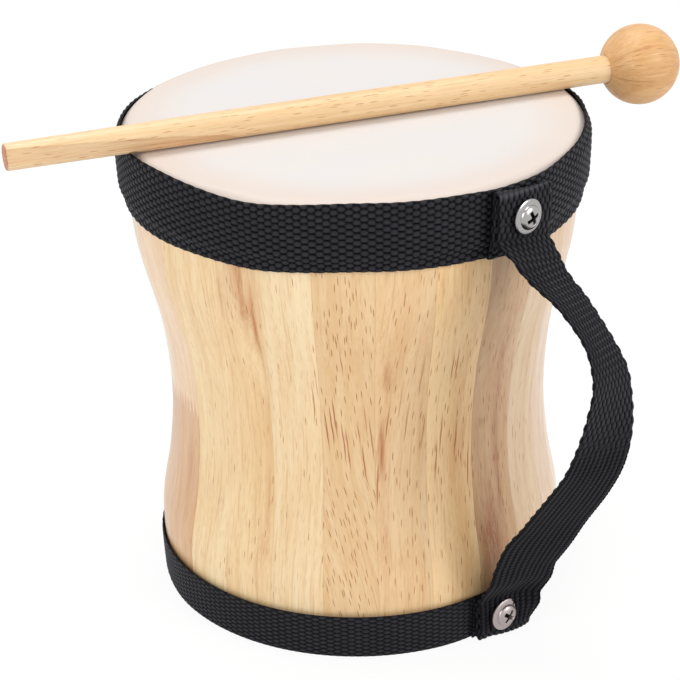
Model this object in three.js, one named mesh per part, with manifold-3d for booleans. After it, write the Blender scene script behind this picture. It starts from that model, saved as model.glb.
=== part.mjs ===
// Hand drum: a waisted shell of glued staves with a rawhide head, webbing round the
// head and the foot, a webbing handle on two screws, and a beater lying on the head.
// Millimetres, +Z up, built about the drum's axis with the foot at Z = 0.
// Angles are in degrees about the axis, from +X towards +Y.

import * as THREE from 'three';
import { mergeVertices } from 'three/addons/utils/BufferGeometryUtils.js';
import Module from 'manifold-3d';

const wasm = await Module();
wasm.setup();

// Shell
const staveCount = 24;
const facetsPerStave = 3;
const seamAngle = -145.5;
const glueLine = 0.1;
const wallThickness = 8.5;
const shellHeight = 154.9;
const footRadius = 66;
const footSwellRadius = 66.5;
const footSwellHeight = 14;
const footShoulderRadius = 66.1;
const footShoulderHeight = 26;
const flareRadius = 62.8;
const flareHeight = 44;
const waistRadius = 61.1;
const waistHeight = 66;
const neckRadius = 63.2;
const neckHeight = 92;
const shoulderRadius = 69.7;
const shoulderHeight = 122;
const lipRadius = 71.6;
const bearingRound = 3;
const footChamfer = 0.8;

// Head
const skinThickness = 1;
const skinSkirt = 16;
const skinGap = 0.3;

// Webbing
const bandGap = 0.3;
const layerGap = 0.25;
const rimBandWidth = 20.4;
const rimBandThickness = 1.3;
const rimBandBelowHead = 0.4;
const baseBandWidth = 14.8;
const baseBandThickness = 0.7;
const baseBandLift = 0.1;
const bandLapPastTab = 1.5;
const bandLapUnderTab = 5;
const bandLapRamp = 24;

// Handle
const handleWidth = 20;
const handleThickness = 1.3;
const handleReach = 36.7;
const handleTwist = 27.6;
const handleSway = 3.9;
const upperTabAngle = -52.3;
const lowerTabAngle = -49.9;
const upperTabLean = -6;
const upperTailLength = 18;
const lowerTailLength = 14;
const tabBelowBandTop = 0.2;
const upperTabBeyondScrew = 1.4;
const lowerTabBeyondScrew = 0.5;
const tabFade = 22;
const edgeLift = 6;
const edgeLiftFromMiddle = 2.5;
const edgeLiftBelowScrew = 3;
const edgeLiftAboveScrew = 5.2;
const edgeLiftFade = 16;

// Screws
const screwHeadRadius = 5.5;
const screwRimThickness = 0.9;
const screwDomeRadius = 3.7;
const screwDomeHeight = 2.5;
const screwShankRadius = 2;
const screwLength = 14;
const screwPointLength = 4;
const screwRecessSpan = 4.4;
const screwRecessWidth = 1;
const screwRecessDepth = 1.7;
const screwSeatGap = 0.3;
const screwHoleClearance = 0.3;
const upperScrewBelowTabTop = 8.2;
const lowerScrewAboveTabEnd = 8.1;
const upperScrewAside = 0.4;
const lowerScrewAside = -2.6;

// Beater
const stickRadius = 4.4;
const stickTipRadius = 4.1;
const stickTaperLength = 60;
const stickChamfer = 0.6;
const stickTipToBall = 206.9;
const ballRadius = 12.9;
const ballBoreDepth = 18;
const boreClearance = 0.15;
const beaterAngle = 20;
const beaterOffset = 5;
const beaterBallReach = 96.7;
const beaterRestGap = 0.3;

// Facets on round pieces that are turned about their own axis
const screwFacets = 24;
const stickFacets = 24;
const ballFacets = 30;

const drumFacets = staveCount * facetsPerStave;
const facetAngle = 360 / drumFacets;
const headUnderside = shellHeight + skinGap;
const headTop = headUnderside + skinThickness;
const skirtBottom = headTop - skinSkirt;
const rimBandTop = headTop - rimBandBelowHead;
const rimBandBottom = rimBandTop - rimBandWidth;
const baseBandTop = baseBandLift + baseBandWidth;
const skirtTop = shellHeight - bearingRound;
const skirtMiddle = (skirtBottom + skirtTop) / 2;
const skirtStep = skirtBottom - bandGap;

const rubberwood = new THREE.MeshStandardMaterial({ color: 0xe0c294, roughness: 0.45, metalness: 0 });
const rawhide = new THREE.MeshStandardMaterial({ color: 0xefe9df, roughness: 0.6, metalness: 0 });
const webbing = new THREE.MeshStandardMaterial({ color: 0x17171a, roughness: 0.7, metalness: 0 });
const nickelSteel = new THREE.MeshStandardMaterial({ color: 0xb9bab8, roughness: 0.25, metalness: 1 });
const beaterWood = new THREE.MeshStandardMaterial({ color: 0xe6cfa6, roughness: 0.5, metalness: 0 });

const radians = THREE.MathUtils.degToRad;
const drumAxis = new THREE.Vector3(0, 0, 1);

const outwardAt = (angle) => new THREE.Vector3(Math.cos(radians(angle)), Math.sin(radians(angle)), 0);

// Outside of the shell as one smooth line of radius against height
const shellLine = new THREE.SplineCurve([
  new THREE.Vector2(footRadius, 0),
  new THREE.Vector2(footSwellRadius, footSwellHeight),
  new THREE.Vector2(footShoulderRadius, footShoulderHeight),
  new THREE.Vector2(flareRadius, flareHeight),
  new THREE.Vector2(waistRadius, waistHeight),
  new THREE.Vector2(neckRadius, neckHeight),
  new THREE.Vector2(shoulderRadius, shoulderHeight),
  new THREE.Vector2(lipRadius, shellHeight),
]);

// Radius of the outside at a height, by halving the line's parameter range
function shellRadius(height) {
  let low = 0;
  let high = 1;
  for (let step = 0; step < 30; step += 1) {
    const middle = (low + high) / 2;
    if (shellLine.getPoint(middle).y < height) {
      low = middle;
    } else {
      high = middle;
    }
  }
  return shellLine.getPoint(low).x;
}

// Heights at which the shell's wall has a ring of points, foot to bearing edge
function wallHeights(rings) {
  const first = footChamfer;
  const last = skirtTop;
  return Array.from({ length: rings }, (_, i) => first + ((last - first) * i) / (rings - 1));
}

// Quarter round at the bearing edge, drawn at a distance outside the wood
function bearingArc(distance) {
  const steps = 3;
  const centreRadius = lipRadius - bearingRound;
  const centreHeight = skirtTop;
  const radius = bearingRound + distance;
  return Array.from({ length: steps + 1 }, (_, i) => {
    const turn = (Math.PI / 2) * (i / steps);
    return new THREE.Vector2(
      centreRadius + radius * Math.cos(turn),
      centreHeight + radius * Math.sin(turn),
    );
  });
}

// Closed outline of the wall, up the outside and down the inside
function wallOutline() {
  const outside = wallHeights(13).slice(0, -1)
    .map((height) => new THREE.Vector2(shellRadius(height), height));
  const inside = wallHeights(7)
    .map((height) => new THREE.Vector2(shellRadius(height) - wallThickness, height));
  const innerRadius = lipRadius - wallThickness;
  return [
    new THREE.Vector2(footRadius - footChamfer, 0),
    ...outside,
    ...bearingArc(0),
    new THREE.Vector2(innerRadius + footChamfer, shellHeight),
    ...inside.reverse(),
    new THREE.Vector2(footRadius - wallThickness + footChamfer, 0),
  ];
}

// Solid between stations of the same closed outline, capped at both ends.
// pointAt(station, corner) gives each vertex.
function loftedSolid(stationCount, outline, pointAt) {
  const corners = outline.length;
  const positions = [];
  for (let station = 0; station < stationCount; station += 1) {
    for (let corner = 0; corner < corners; corner += 1) {
      positions.push(...pointAt(station, corner).toArray());
    }
  }
  const faces = [];
  for (let station = 0; station < stationCount - 1; station += 1) {
    for (let corner = 0; corner < corners; corner += 1) {
      const next = (corner + 1) % corners;
      const here = station * corners;
      const beyond = here + corners;
      faces.push(here + corner, beyond + next, here + next);
      faces.push(here + corner, beyond + corner, beyond + next);
    }
  }
  const last = (stationCount - 1) * corners;
  const clockwise = THREE.ShapeUtils.isClockWise(outline);
  for (const triangle of THREE.ShapeUtils.triangulateShape(outline, [])) {
    const [a, b, c] = clockwise ? triangle.reverse() : triangle;
    faces.push(a, b, c);
    faces.push(last + a, last + c, last + b);
  }
  const geometry = new THREE.BufferGeometry();
  geometry.setAttribute('position', new THREE.Float32BufferAttribute(positions, 3));
  geometry.setIndex(faces);
  return geometry;
}

function toSolid(geometry) {
  const bare = geometry.clone();
  bare.deleteAttribute('normal');
  bare.deleteAttribute('uv');
  const merged = mergeVertices(bare, 1e-4);
  return new wasm.Manifold(new wasm.Mesh({
    numProp: 3,
    vertProperties: new Float32Array(merged.attributes.position.array),
    triVerts: new Uint32Array(merged.index.array),
  }));
}

function toGeometry(solid) {
  const { vertProperties, triVerts } = solid.getMesh();
  const geometry = new THREE.BufferGeometry();
  geometry.setAttribute('position', new THREE.BufferAttribute(vertProperties, 3));
  geometry.setIndex(new THREE.BufferAttribute(triVerts, 1));
  return geometry;
}

function cut(geometry, ...tools) {
  return toGeometry(tools.reduce((solid, tool) => solid.subtract(toSolid(tool)), toSolid(geometry)));
}

function named(name, geometry, material) {
  geometry.computeVertexNormals();
  const mesh = new THREE.Mesh(geometry, material);
  mesh.name = name;
  return mesh;
}

// Turned solid about +Z from points of radius and height
function turned(points, facets, startAngle = 0) {
  const start = radians(startAngle + 90);
  return new THREE.LatheGeometry(points, facets, start, Math.PI * 2).rotateX(Math.PI / 2);
}

// One stave, with its sides half a glue line in from the seam planes
function staveGeometry(index) {
  const outline = wallOutline();
  const halfAngle = Math.PI / staveCount;
  const middle = radians(seamAngle) + halfAngle * (2 * index + 1);
  return loftedSolid(facetsPerStave + 1, outline, (station, corner) => {
    const { x: radius, y: height } = outline[corner];
    const reach = halfAngle - Math.asin(glueLine / 2 / radius);
    const angle = middle + reach * ((2 * station) / facetsPerStave - 1);
    return new THREE.Vector3(radius * Math.cos(angle), radius * Math.sin(angle), height);
  });
}

// Skin over the bearing edge, with its skirt down the outside of the shell
function skinGeometry() {
  const skirt = (distance) => [skirtBottom, skirtMiddle].map((height) => (
    new THREE.Vector2(shellRadius(height) + distance, height)
  ));
  const points = [
    new THREE.Vector2(0, headUnderside),
    ...bearingArc(skinGap).reverse(),
    ...skirt(skinGap).reverse(),
    ...skirt(skinGap + skinThickness),
    ...bearingArc(skinGap + skinThickness),
    new THREE.Vector2(0, headTop),
  ];
  return turned(points, drumFacets, seamAngle);
}

// Radius that the inner face of the rim band lies on: over the skirt, then in to the bare wood
function rimBandSeat(height) {
  const overWood = shellRadius(Math.min(height, skirtTop));
  if (height < skirtStep) {
    return overWood + bandGap;
  }
  return overWood + skinGap + skinThickness + bandGap;
}

function baseBandSeat(height) {
  return shellRadius(height) + bandGap;
}

// Heights at which each band bends across its width
const rimBandHeights = [
  rimBandBottom,
  skirtStep - skinThickness,
  skirtStep,
  skirtMiddle,
  skirtTop,
  rimBandTop,
];
const baseBandHeights = [baseBandLift, footSwellHeight / 2, baseBandTop];

// Webbing round the drum. It starts under the tab, goes once round and laps over its own start,
// rising by one layer on the way, so that its outer end shows just past the tab.
function bandGeometry(seat, bottom, top, heights, thickness, tabAngle) {
  const tabRadius = seat((bottom + top) / 2) + thickness;
  const toAngle = (length) => THREE.MathUtils.radToDeg(length / tabRadius);
  const halfTab = toAngle(handleWidth / 2);
  const start = tabAngle + halfTab - toAngle(bandLapUnderTab);
  const lapEnd = tabAngle - halfTab - toAngle(bandLapPastTab) - 360;
  const lapStart = start + toAngle(thickness) - 360;
  const rampStart = lapStart + toAngle(bandLapRamp);
  const outline = [
    ...heights.map((height) => new THREE.Vector2(seat(height), height)),
    ...heights.slice().reverse().map((height) => new THREE.Vector2(seat(height) + thickness, height)),
  ];
  const stations = Math.round((start - lapEnd) / facetAngle) + 1;
  return loftedSolid(stations, outline, (station, corner) => {
    const angle = THREE.MathUtils.lerp(start, lapEnd, station / (stations - 1));
    const rise = 1 - THREE.MathUtils.smoothstep(angle, lapStart, rampStart);
    const radius = outline[corner].x + rise * (thickness + layerGap);
    return outwardAt(angle).multiplyScalar(radius).setZ(outline[corner].y);
  });
}

const rimBandOutside = Math.max(...rimBandHeights.map(rimBandSeat)) + rimBandThickness;
const baseBandOutside = Math.max(...baseBandHeights.map(baseBandSeat)) + baseBandThickness;
const tabStack = (bandOutside, bandThickness) => bandOutside + layerGap + bandThickness + layerGap;
const foldRadius = (handleThickness + layerGap) / 2;

// Middles of the inner and outer layers of each folded tab, and the heights of the tab's ends
const upperTail = tabStack(rimBandOutside, rimBandThickness) + handleThickness / 2;
const lowerTail = tabStack(baseBandOutside, baseBandThickness) + handleThickness / 2;
const upperTab = upperTail + 2 * foldRadius;
const lowerTab = lowerTail + 2 * foldRadius;
const upperTabTop = rimBandTop - tabBelowBandTop;
const lowerTabEnd = baseBandLift;
const upperScrewHeight = upperTabTop - upperScrewBelowTabTop;
const lowerScrewHeight = lowerTabEnd + lowerScrewAboveTabEnd;

// Free part of the handle, top to bottom: shares of the way down, of the reach, of the twist and
// of the sideways sway
const handleShape = [
  [0.039, 0.178, -0.37, 0.13],
  [0.08, 0.336, -0.67, 0.31],
  [0.132, 0.567, -0.94, 0.68],
  [0.197, 0.783, -1, 1],
  [0.268, 0.936, -0.7, 0.99],
  [0.345, 0.993, -0.27, 0.64],
  [0.43, 1, 0.16, 0.21],
  [0.509, 0.949, 0.43, -0.17],
  [0.591, 0.811, 0.61, -0.29],
  [0.71, 0.565, 0.71, -0.28],
  [0.789, 0.418, 0.78, -0.31],
  [0.865, 0.29, 0.6, -0.22],
  [0.927, 0.2, 0.38, -0.1],
];

// How far the strap's free edge stands off at a height: up from just below the lower screw, then
// back to nothing
function edgeLiftAt(height) {
  const start = lowerScrewHeight - edgeLiftBelowScrew;
  const crest = lowerScrewHeight + edgeLiftAboveScrew;
  const rise = THREE.MathUtils.smoothstep(height, start, crest);
  const fall = 1 - THREE.MathUtils.smoothstep(height, crest, crest + edgeLiftFade);
  return edgeLift * rise * fall;
}

// Stations of the handle's middle line: radius, height, twist and sideways sway; hold is how far
// the strap is still a tab there, which bends it to the drum's curve; lean turns it about the
// upper screw, and edge lifts its free edge
function handleStations() {
  const upperFold = upperTabTop - foldRadius - handleThickness / 2;
  const lowerFold = lowerTabEnd + foldRadius + handleThickness / 2;
  const upperLeave = upperScrewHeight - screwHeadRadius - upperTabBeyondScrew;
  const lowerLeave = lowerScrewHeight + screwHeadRadius + lowerTabBeyondScrew;
  const stations = [];
  const add = (radius, height, shape) => {
    stations.push({ radius, height, twist: 0, sway: 0, hold: 1, edge: 0, ...shape });
  };
  const addFold = (middle, height, direction, shape) => {
    const steps = 4;
    for (let step = 0; step <= steps; step += 1) {
      const turn = Math.PI * (step / steps);
      const across = direction > 0 ? -Math.cos(turn) : Math.cos(turn);
      add(middle + foldRadius * across, height + direction * foldRadius * Math.sin(turn), shape);
    }
  };

  const leaning = { lean: upperTabLean };
  const upright = { lean: 0 };
  add(upperTail, upperTabTop - upperTailLength, leaning);
  addFold(upperTail + foldRadius, upperFold, 1, leaning);
  const flatLead = 8;
  const straightLead = 1;
  const free = [
    [upperTab, upperLeave + flatLead, 0, 0],
    [upperTab, upperLeave + straightLead, 0, 0],
    [upperTab, upperLeave, 0, 0],
    ...handleShape.map(([down, reach, twist, sway]) => [
      THREE.MathUtils.lerp(upperTab, lowerTab, down) + reach * handleReach,
      THREE.MathUtils.lerp(upperLeave, lowerLeave, down),
      twist * handleTwist,
      sway * handleSway,
    ]),
    [lowerTab, lowerLeave, 0, 0],
    [lowerTab, lowerLeave - straightLead, 0, 0],
    [lowerTab, lowerLeave - flatLead, 0, 0],
  ];
  const curveOf = (third) => new THREE.CatmullRomCurve3(
    free.map((row) => new THREE.Vector3(row[0], row[1], row[third])),
    false,
    'centripetal',
  );
  const twistLine = curveOf(2);
  const swayLine = curveOf(3);
  const length = swayLine.getLength();
  const freeSteps = 50;
  for (let step = 0; step <= freeSteps; step += 1) {
    const parameter = swayLine.getUtoTmapping(step / freeSteps);
    const { x: radius, y: height, z: sway } = swayLine.getPoint(parameter);
    const { z: twist } = twistLine.getPoint(parameter);
    const fromTab = (Math.min(step, freeSteps - step) / freeSteps) * length - flatLead;
    const hold = 1 - THREE.MathUtils.clamp(fromTab / tabFade, 0, 1);
    const lean = step < freeSteps / 2 ? upperTabLean * hold : 0;
    add(radius, height, { twist, sway, hold, lean, edge: edgeLiftAt(height) });
  }
  addFold(lowerTail + foldRadius, lowerFold, -1, upright);
  add(lowerTail, lowerTabEnd + lowerTailLength, upright);
  return stations;
}

// Handle: a flat strip carried along its stations, each cross-section turned by the twist
// and bent to the drum's curve where it lies on a band. The upper tab leans about its screw.
function handleGeometry() {
  const stations = handleStations();
  const across = 4;
  const side = (height) => Array.from({ length: across + 1 }, (_, i) => (
    new THREE.Vector2(handleWidth * (i / across - 0.5), height)
  ));
  const outline = [...side(-handleThickness / 2), ...side(handleThickness / 2).reverse()];
  const middles = stations.map(({ radius, height, sway }) => {
    const share = THREE.MathUtils.clamp((upperTabTop - height) / (upperTabTop - lowerTabEnd), 0, 1);
    const outward = outwardAt(THREE.MathUtils.lerp(upperTabAngle, lowerTabAngle, share));
    const level = drumAxis.clone().cross(outward);
    const place = outward.clone().multiplyScalar(radius).setZ(height).addScaledVector(level, sway);
    return { outward, level, place };
  });
  return loftedSolid(stations.length, outline, (station, corner) => {
    const { radius, twist, hold, lean, edge } = stations[station];
    const { outward, level, place } = middles[station];
    const before = middles[Math.max(station - 1, 0)].place;
    const after = middles[Math.min(station + 1, stations.length - 1)].place;
    const along = after.clone().sub(before).normalize();
    const sideways = level.clone().addScaledVector(along, -level.dot(along)).normalize()
      .applyAxisAngle(along, radians(twist));
    const facing = sideways.clone().cross(along);
    const { x: offset, y: lift } = outline[corner];
    const curved = hold * offset ** 2 / (2 * radius);
    const pastMiddle = (offset - edgeLiftFromMiddle) / (handleWidth / 2 - edgeLiftFromMiddle);
    const lifted = edge * Math.max(pastMiddle, 0) ** 2;
    const point = place.clone()
      .addScaledVector(sideways, offset)
      .addScaledVector(facing, lift)
      .addScaledVector(outward, lifted - curved);
    const pivot = outward.clone().multiplyScalar(radius).setZ(upperScrewHeight);
    return point.sub(pivot).applyAxisAngle(outward, radians(lean)).add(pivot);
  });
}

// Screw about +Z with the underside of its head at Z = 0: rim, dome, cross recess, shank and point
function screwGeometry() {
  const domeSteps = 4;
  const domeBase = screwRimThickness;
  const dome = Array.from({ length: domeSteps + 1 }, (_, i) => {
    const turn = (Math.PI / 2) * (i / domeSteps);
    return new THREE.Vector2(
      screwDomeRadius * Math.cos(turn),
      domeBase + (screwDomeHeight - domeBase) * Math.sin(turn),
    );
  });
  dome[domeSteps].x = 0;
  const points = [
    new THREE.Vector2(0, -screwLength),
    new THREE.Vector2(screwShankRadius, screwPointLength - screwLength),
    new THREE.Vector2(screwShankRadius, 0),
    new THREE.Vector2(screwHeadRadius, 0),
    new THREE.Vector2(screwHeadRadius, screwRimThickness / 2),
    ...dome,
  ];
  const recessMiddle = screwDomeHeight - screwRecessDepth / 2;
  const slots = [0, 1].map((turn) => {
    const slot = new THREE.BoxGeometry(screwRecessSpan, screwRecessWidth, screwRecessDepth);
    slot.translate(0, 0, recessMiddle + screwRecessDepth / 4).rotateZ(turn * Math.PI / 2 + Math.PI / 4);
    return slot;
  });
  return cut(turned(points, screwFacets), ...slots);
}

// Turn and place something built about +Z so that it points outwards from the drum at an angle
function pointOutward(object, angle, radius, height) {
  object.quaternion.setFromUnitVectors(drumAxis, outwardAt(angle));
  object.position.copy(outwardAt(angle).multiplyScalar(radius).setZ(height));
  return object;
}

// Straight drill on a screw's line, through everything from the seat inwards
function drill(angle, seatRadius, height, clearance) {
  const over = screwHeadRadius;
  const length = screwLength + over;
  const body = new THREE.CylinderGeometry(
    screwShankRadius + clearance,
    screwShankRadius + clearance,
    length,
    screwFacets,
  ).rotateX(Math.PI / 2).translate(0, 0, over / 2 - screwLength / 2 - clearance);
  const holder = pointOutward(new THREE.Object3D(), angle, seatRadius, height);
  holder.updateMatrix();
  return body.applyMatrix4(holder.matrix);
}

const upperSeat = upperTab + handleThickness / 2 + screwSeatGap;
const lowerSeat = lowerTab + handleThickness / 2 + screwSeatGap;
const upperScrewAngle = upperTabAngle + THREE.MathUtils.radToDeg(upperScrewAside / upperSeat);
const lowerScrewAngle = lowerTabAngle + THREE.MathUtils.radToDeg(lowerScrewAside / lowerSeat);
const upperDrill = () => drill(upperScrewAngle, upperSeat, upperScrewHeight, screwHoleClearance);
const lowerDrill = () => drill(lowerScrewAngle, lowerSeat, lowerScrewHeight, screwHoleClearance);

// Angle from the first seam to a screw, counted in staves
const staveUnder = (angle) => (
  Math.floor(THREE.MathUtils.euclideanModulo(angle - seamAngle, 360) / (360 / staveCount))
);

function addShell(drum) {
  for (let index = 0; index < staveCount; index += 1) {
    const drills = [];
    if (index === staveUnder(upperScrewAngle)) {
      drills.push(upperDrill());
    }
    if (index === staveUnder(lowerScrewAngle)) {
      drills.push(lowerDrill());
    }
    const name = `stave_${String(index + 1).padStart(2, '0')}`;
    const whole = staveGeometry(index);
    drum.add(named(name, drills.length > 0 ? cut(whole, ...drills) : whole, rubberwood));
  }
}

function addHead(drum) {
  drum.add(named('head_skin', cut(skinGeometry(), upperDrill()), rawhide));
}

function addBands(drum) {
  const rim = bandGeometry(
    rimBandSeat,
    rimBandBottom,
    rimBandTop,
    rimBandHeights,
    rimBandThickness,
    upperTabAngle,
  );
  const base = bandGeometry(
    baseBandSeat,
    baseBandLift,
    baseBandTop,
    baseBandHeights,
    baseBandThickness,
    lowerTabAngle,
  );
  drum.add(named('rim_band', cut(rim, upperDrill()), webbing));
  drum.add(named('base_band', cut(base, lowerDrill()), webbing));
}

function addHandle(drum) {
  drum.add(named('handle_strap', cut(handleGeometry(), upperDrill(), lowerDrill()), webbing));
  const upperScrew = named('upper_screw', screwGeometry(), nickelSteel);
  const lowerScrew = named('lower_screw', screwGeometry(), nickelSteel);
  drum.add(pointOutward(upperScrew, upperScrewAngle, upperSeat, upperScrewHeight));
  drum.add(pointOutward(lowerScrew, lowerScrewAngle, lowerSeat, lowerScrewHeight));
}

// Dowel about +Z, its tip at Z = 0 and its other end in the ball's bore
function stickGeometry() {
  const length = stickTipToBall - ballRadius + ballBoreDepth - skinGap;
  return turned([
    new THREE.Vector2(0, 0),
    new THREE.Vector2(stickTipRadius - stickChamfer, 0),
    new THREE.Vector2(stickTipRadius, stickChamfer),
    new THREE.Vector2(stickRadius, stickTaperLength),
    new THREE.Vector2(stickRadius, length - stickChamfer),
    new THREE.Vector2(stickRadius - stickChamfer, length),
    new THREE.Vector2(0, length),
  ], stickFacets);
}

// Ball about +Z with its centre at Z = 0 and its bore open towards -Z
function ballGeometry() {
  const boreRadius = stickRadius + boreClearance;
  const mouth = Math.asin(boreRadius / ballRadius);
  const steps = 13;
  const outside = Array.from({ length: steps + 1 }, (_, i) => {
    const turn = mouth + (Math.PI - mouth) * (i / steps);
    return new THREE.Vector2(ballRadius * Math.sin(turn), -ballRadius * Math.cos(turn));
  });
  outside[steps].x = 0;
  const boreEnd = -ballRadius + ballBoreDepth;
  return turned([
    new THREE.Vector2(0, boreEnd),
    new THREE.Vector2(boreRadius, boreEnd),
    ...outside,
  ], ballFacets);
}

// Beater laid on the head: its own line, turned to the beater's angle and set beside the drum's axis
function addBeater(drum) {
  const beater = new THREE.Group();
  const stick = named('beater_stick', stickGeometry(), beaterWood);
  const ball = named('beater_ball', ballGeometry(), beaterWood);
  stick.position.z = -stickTipToBall;
  beater.add(stick, ball);
  const along = outwardAt(beaterAngle);
  const beside = outwardAt(beaterAngle - 90);
  beater.quaternion.setFromUnitVectors(drumAxis, along);
  beater.position.copy(along).multiplyScalar(beaterBallReach)
    .addScaledVector(beside, beaterOffset)
    .setZ(headTop + beaterRestGap + stickRadius);
  drum.add(beater);
}

const drum = new THREE.Group();
addShell(drum);
addHead(drum);
addBands(drum);
addHandle(drum);
addBeater(drum);

// Origin under the middle of the whole outline, on the surface that the drum stands on
drum.updateMatrixWorld(true);
const middle = new THREE.Box3().setFromObject(drum, true).getCenter(new THREE.Vector3());
drum.position.set(-middle.x, -middle.y, 0);

export default drum;
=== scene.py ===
import math
from functools import partial

import bpy
import numpy as np
from mathutils import Matrix, Vector


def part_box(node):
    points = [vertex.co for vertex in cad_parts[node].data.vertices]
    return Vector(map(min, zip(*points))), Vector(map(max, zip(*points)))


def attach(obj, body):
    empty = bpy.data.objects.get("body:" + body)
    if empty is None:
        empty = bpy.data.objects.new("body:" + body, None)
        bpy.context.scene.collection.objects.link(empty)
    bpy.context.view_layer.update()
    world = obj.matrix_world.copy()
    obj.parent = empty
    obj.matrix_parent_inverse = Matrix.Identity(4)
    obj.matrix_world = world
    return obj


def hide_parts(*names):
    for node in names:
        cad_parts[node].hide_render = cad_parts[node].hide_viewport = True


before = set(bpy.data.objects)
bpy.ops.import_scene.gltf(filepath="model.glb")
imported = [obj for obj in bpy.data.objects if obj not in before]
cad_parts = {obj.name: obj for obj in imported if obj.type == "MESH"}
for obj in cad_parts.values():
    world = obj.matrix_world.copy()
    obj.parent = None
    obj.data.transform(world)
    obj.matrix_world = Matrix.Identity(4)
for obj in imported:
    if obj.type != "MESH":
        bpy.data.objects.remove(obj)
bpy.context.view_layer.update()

headLow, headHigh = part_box("head_skin")
drumCentre = np.array([(headLow.x + headHigh.x) / 2, (headLow.y + headHigh.y) / 2, 0.0])
millimetre = 0.001


# Camera, at the photograph's angle

view = {
    "place": (0.0, -612.4, 381.9),  # mm about the drum's axis
    "pan": -0.519,  # degrees towards +X
    "tilt": 26.386,  # degrees below the horizon
    "roll": -1.41,
    "focal": 2087 / 680,  # focal length as a share of the picture's width
    "sensor": 36.0,
}


def makeCamera(settings):
    # looks along its pan and tilt, and is rolled about that line
    pan, tilt, roll = (math.radians(settings[key]) for key in ("pan", "tilt", "roll"))
    forward = np.array([
        math.sin(pan) * math.cos(tilt), math.cos(pan) * math.cos(tilt), -math.sin(tilt)])
    level = np.array([math.cos(pan), -math.sin(pan), 0.0])
    upright = np.cross(level, forward)
    right = math.cos(roll) * level + math.sin(roll) * upright
    up = -math.sin(roll) * level + math.cos(roll) * upright
    data = bpy.data.cameras.new("photo_camera")
    data.sensor_width = settings["sensor"]
    data.lens = settings["focal"] * settings["sensor"]
    data.clip_start, data.clip_end = 0.01, 50.0
    camera = bpy.data.objects.new("photo_camera", data)
    bpy.context.scene.collection.objects.link(camera)
    place = drumCentre + np.array(settings["place"]) * millimetre
    columns = np.column_stack([right, up, -forward, place])
    camera.matrix_world = Matrix([*columns.tolist(), [0, 0, 0, 1]])
    bpy.context.scene.camera = camera


makeCamera(view)
print("camera placed")


# Shared shape tools

def fieldOf(*parts):
    # numbers and arrays that fit one another, as one array of points or vectors
    return np.stack(np.broadcast_arrays(*parts), axis=-1)


def radialPoint(angle, radius, height):
    # a point at an angle in radians and a radius about the drum's axis
    return fieldOf(radius * np.cos(angle), radius * np.sin(angle), height)


def smoothStep(low, high, value):
    # 0 below low, 1 above high, and 3t^2 - 2t^3 between them
    share = np.clip((value - low) / (high - low), 0, 1)
    return share * share * (3 - 2 * share)


def riseAndFall(value, start, full, fade, end):
    # rises smoothly from 0 at start to 1 at full, and falls from 1 at fade to 0 at end
    return smoothStep(start, full, value) * (1 - smoothStep(fade, end, value))


def splineThrough(points, perSpan, spacing=0.5):
    # Catmull-Rom line through the points: a cubic per span whose end slopes come from the
    # neighbours, with knots spaced by chord length to the given power
    points = np.array(points, float)
    first, last = 2 * points[0] - points[1], 2 * points[-1] - points[-2]
    if spacing == 0:
        first, last = points[0], points[-1]
    padded = np.vstack([first, points, last])
    chords = np.linalg.norm(np.diff(padded, axis=0), axis=1)
    knots = np.where(chords > 0, chords, 1.0) ** spacing
    before, here, after = knots[:-2, None], knots[1:-1, None], knots[2:, None]
    p0, p1, p2, p3 = padded[:-3], padded[1:-2], padded[2:-1], padded[3:]
    slopeIn = ((p1 - p0) / before - (p2 - p0) / (before + here) + (p2 - p1) / here) * here
    slopeOut = ((p2 - p1) / here - (p3 - p1) / (here + after) + (p3 - p2) / after) * here
    t = np.linspace(0, 1, perSpan, endpoint=False)[None, :, None]
    p1, p2, slopeIn, slopeOut = (part[:, None, :] for part in (p1, p2, slopeIn, slopeOut))
    line = (p1 * (2 * t**3 - 3 * t**2 + 1) + slopeIn * (t**3 - 2 * t**2 + t)
            + p2 * (3 * t**2 - 2 * t**3) + slopeOut * (t**3 - t**2))
    return np.vstack([line.reshape(-1, points.shape[1]), points[-1]])


def gridQuads(rows, columns):
    # quads between neighbouring rows and columns of a grid of points whose columns close up
    row, column = np.meshgrid(np.arange(rows - 1), np.arange(columns), indexing="ij")
    beside = (column + 1) % columns
    corners = [row * columns + column, row * columns + beside,
               (row + 1) * columns + beside, (row + 1) * columns + column]
    return np.stack(corners, axis=-1).reshape(-1, 4)


def enclosedVolume(points, quads, caps):
    # sum of the signed tetrahedra from the origin to each face, fanned from its first corner
    total = 0.0
    for a, b, c in ((0, 1, 2), (0, 2, 3)):
        total += np.einsum("ij,ij->", points[quads[:, a]],
                           np.cross(points[quads[:, b]], points[quads[:, c]]))
    for cap in caps:
        first, second, third = points[cap[0]], points[cap[1:-1]], points[cap[2:]]
        total += np.sum(np.cross(second, third) @ first)
    return total / 6


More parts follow.
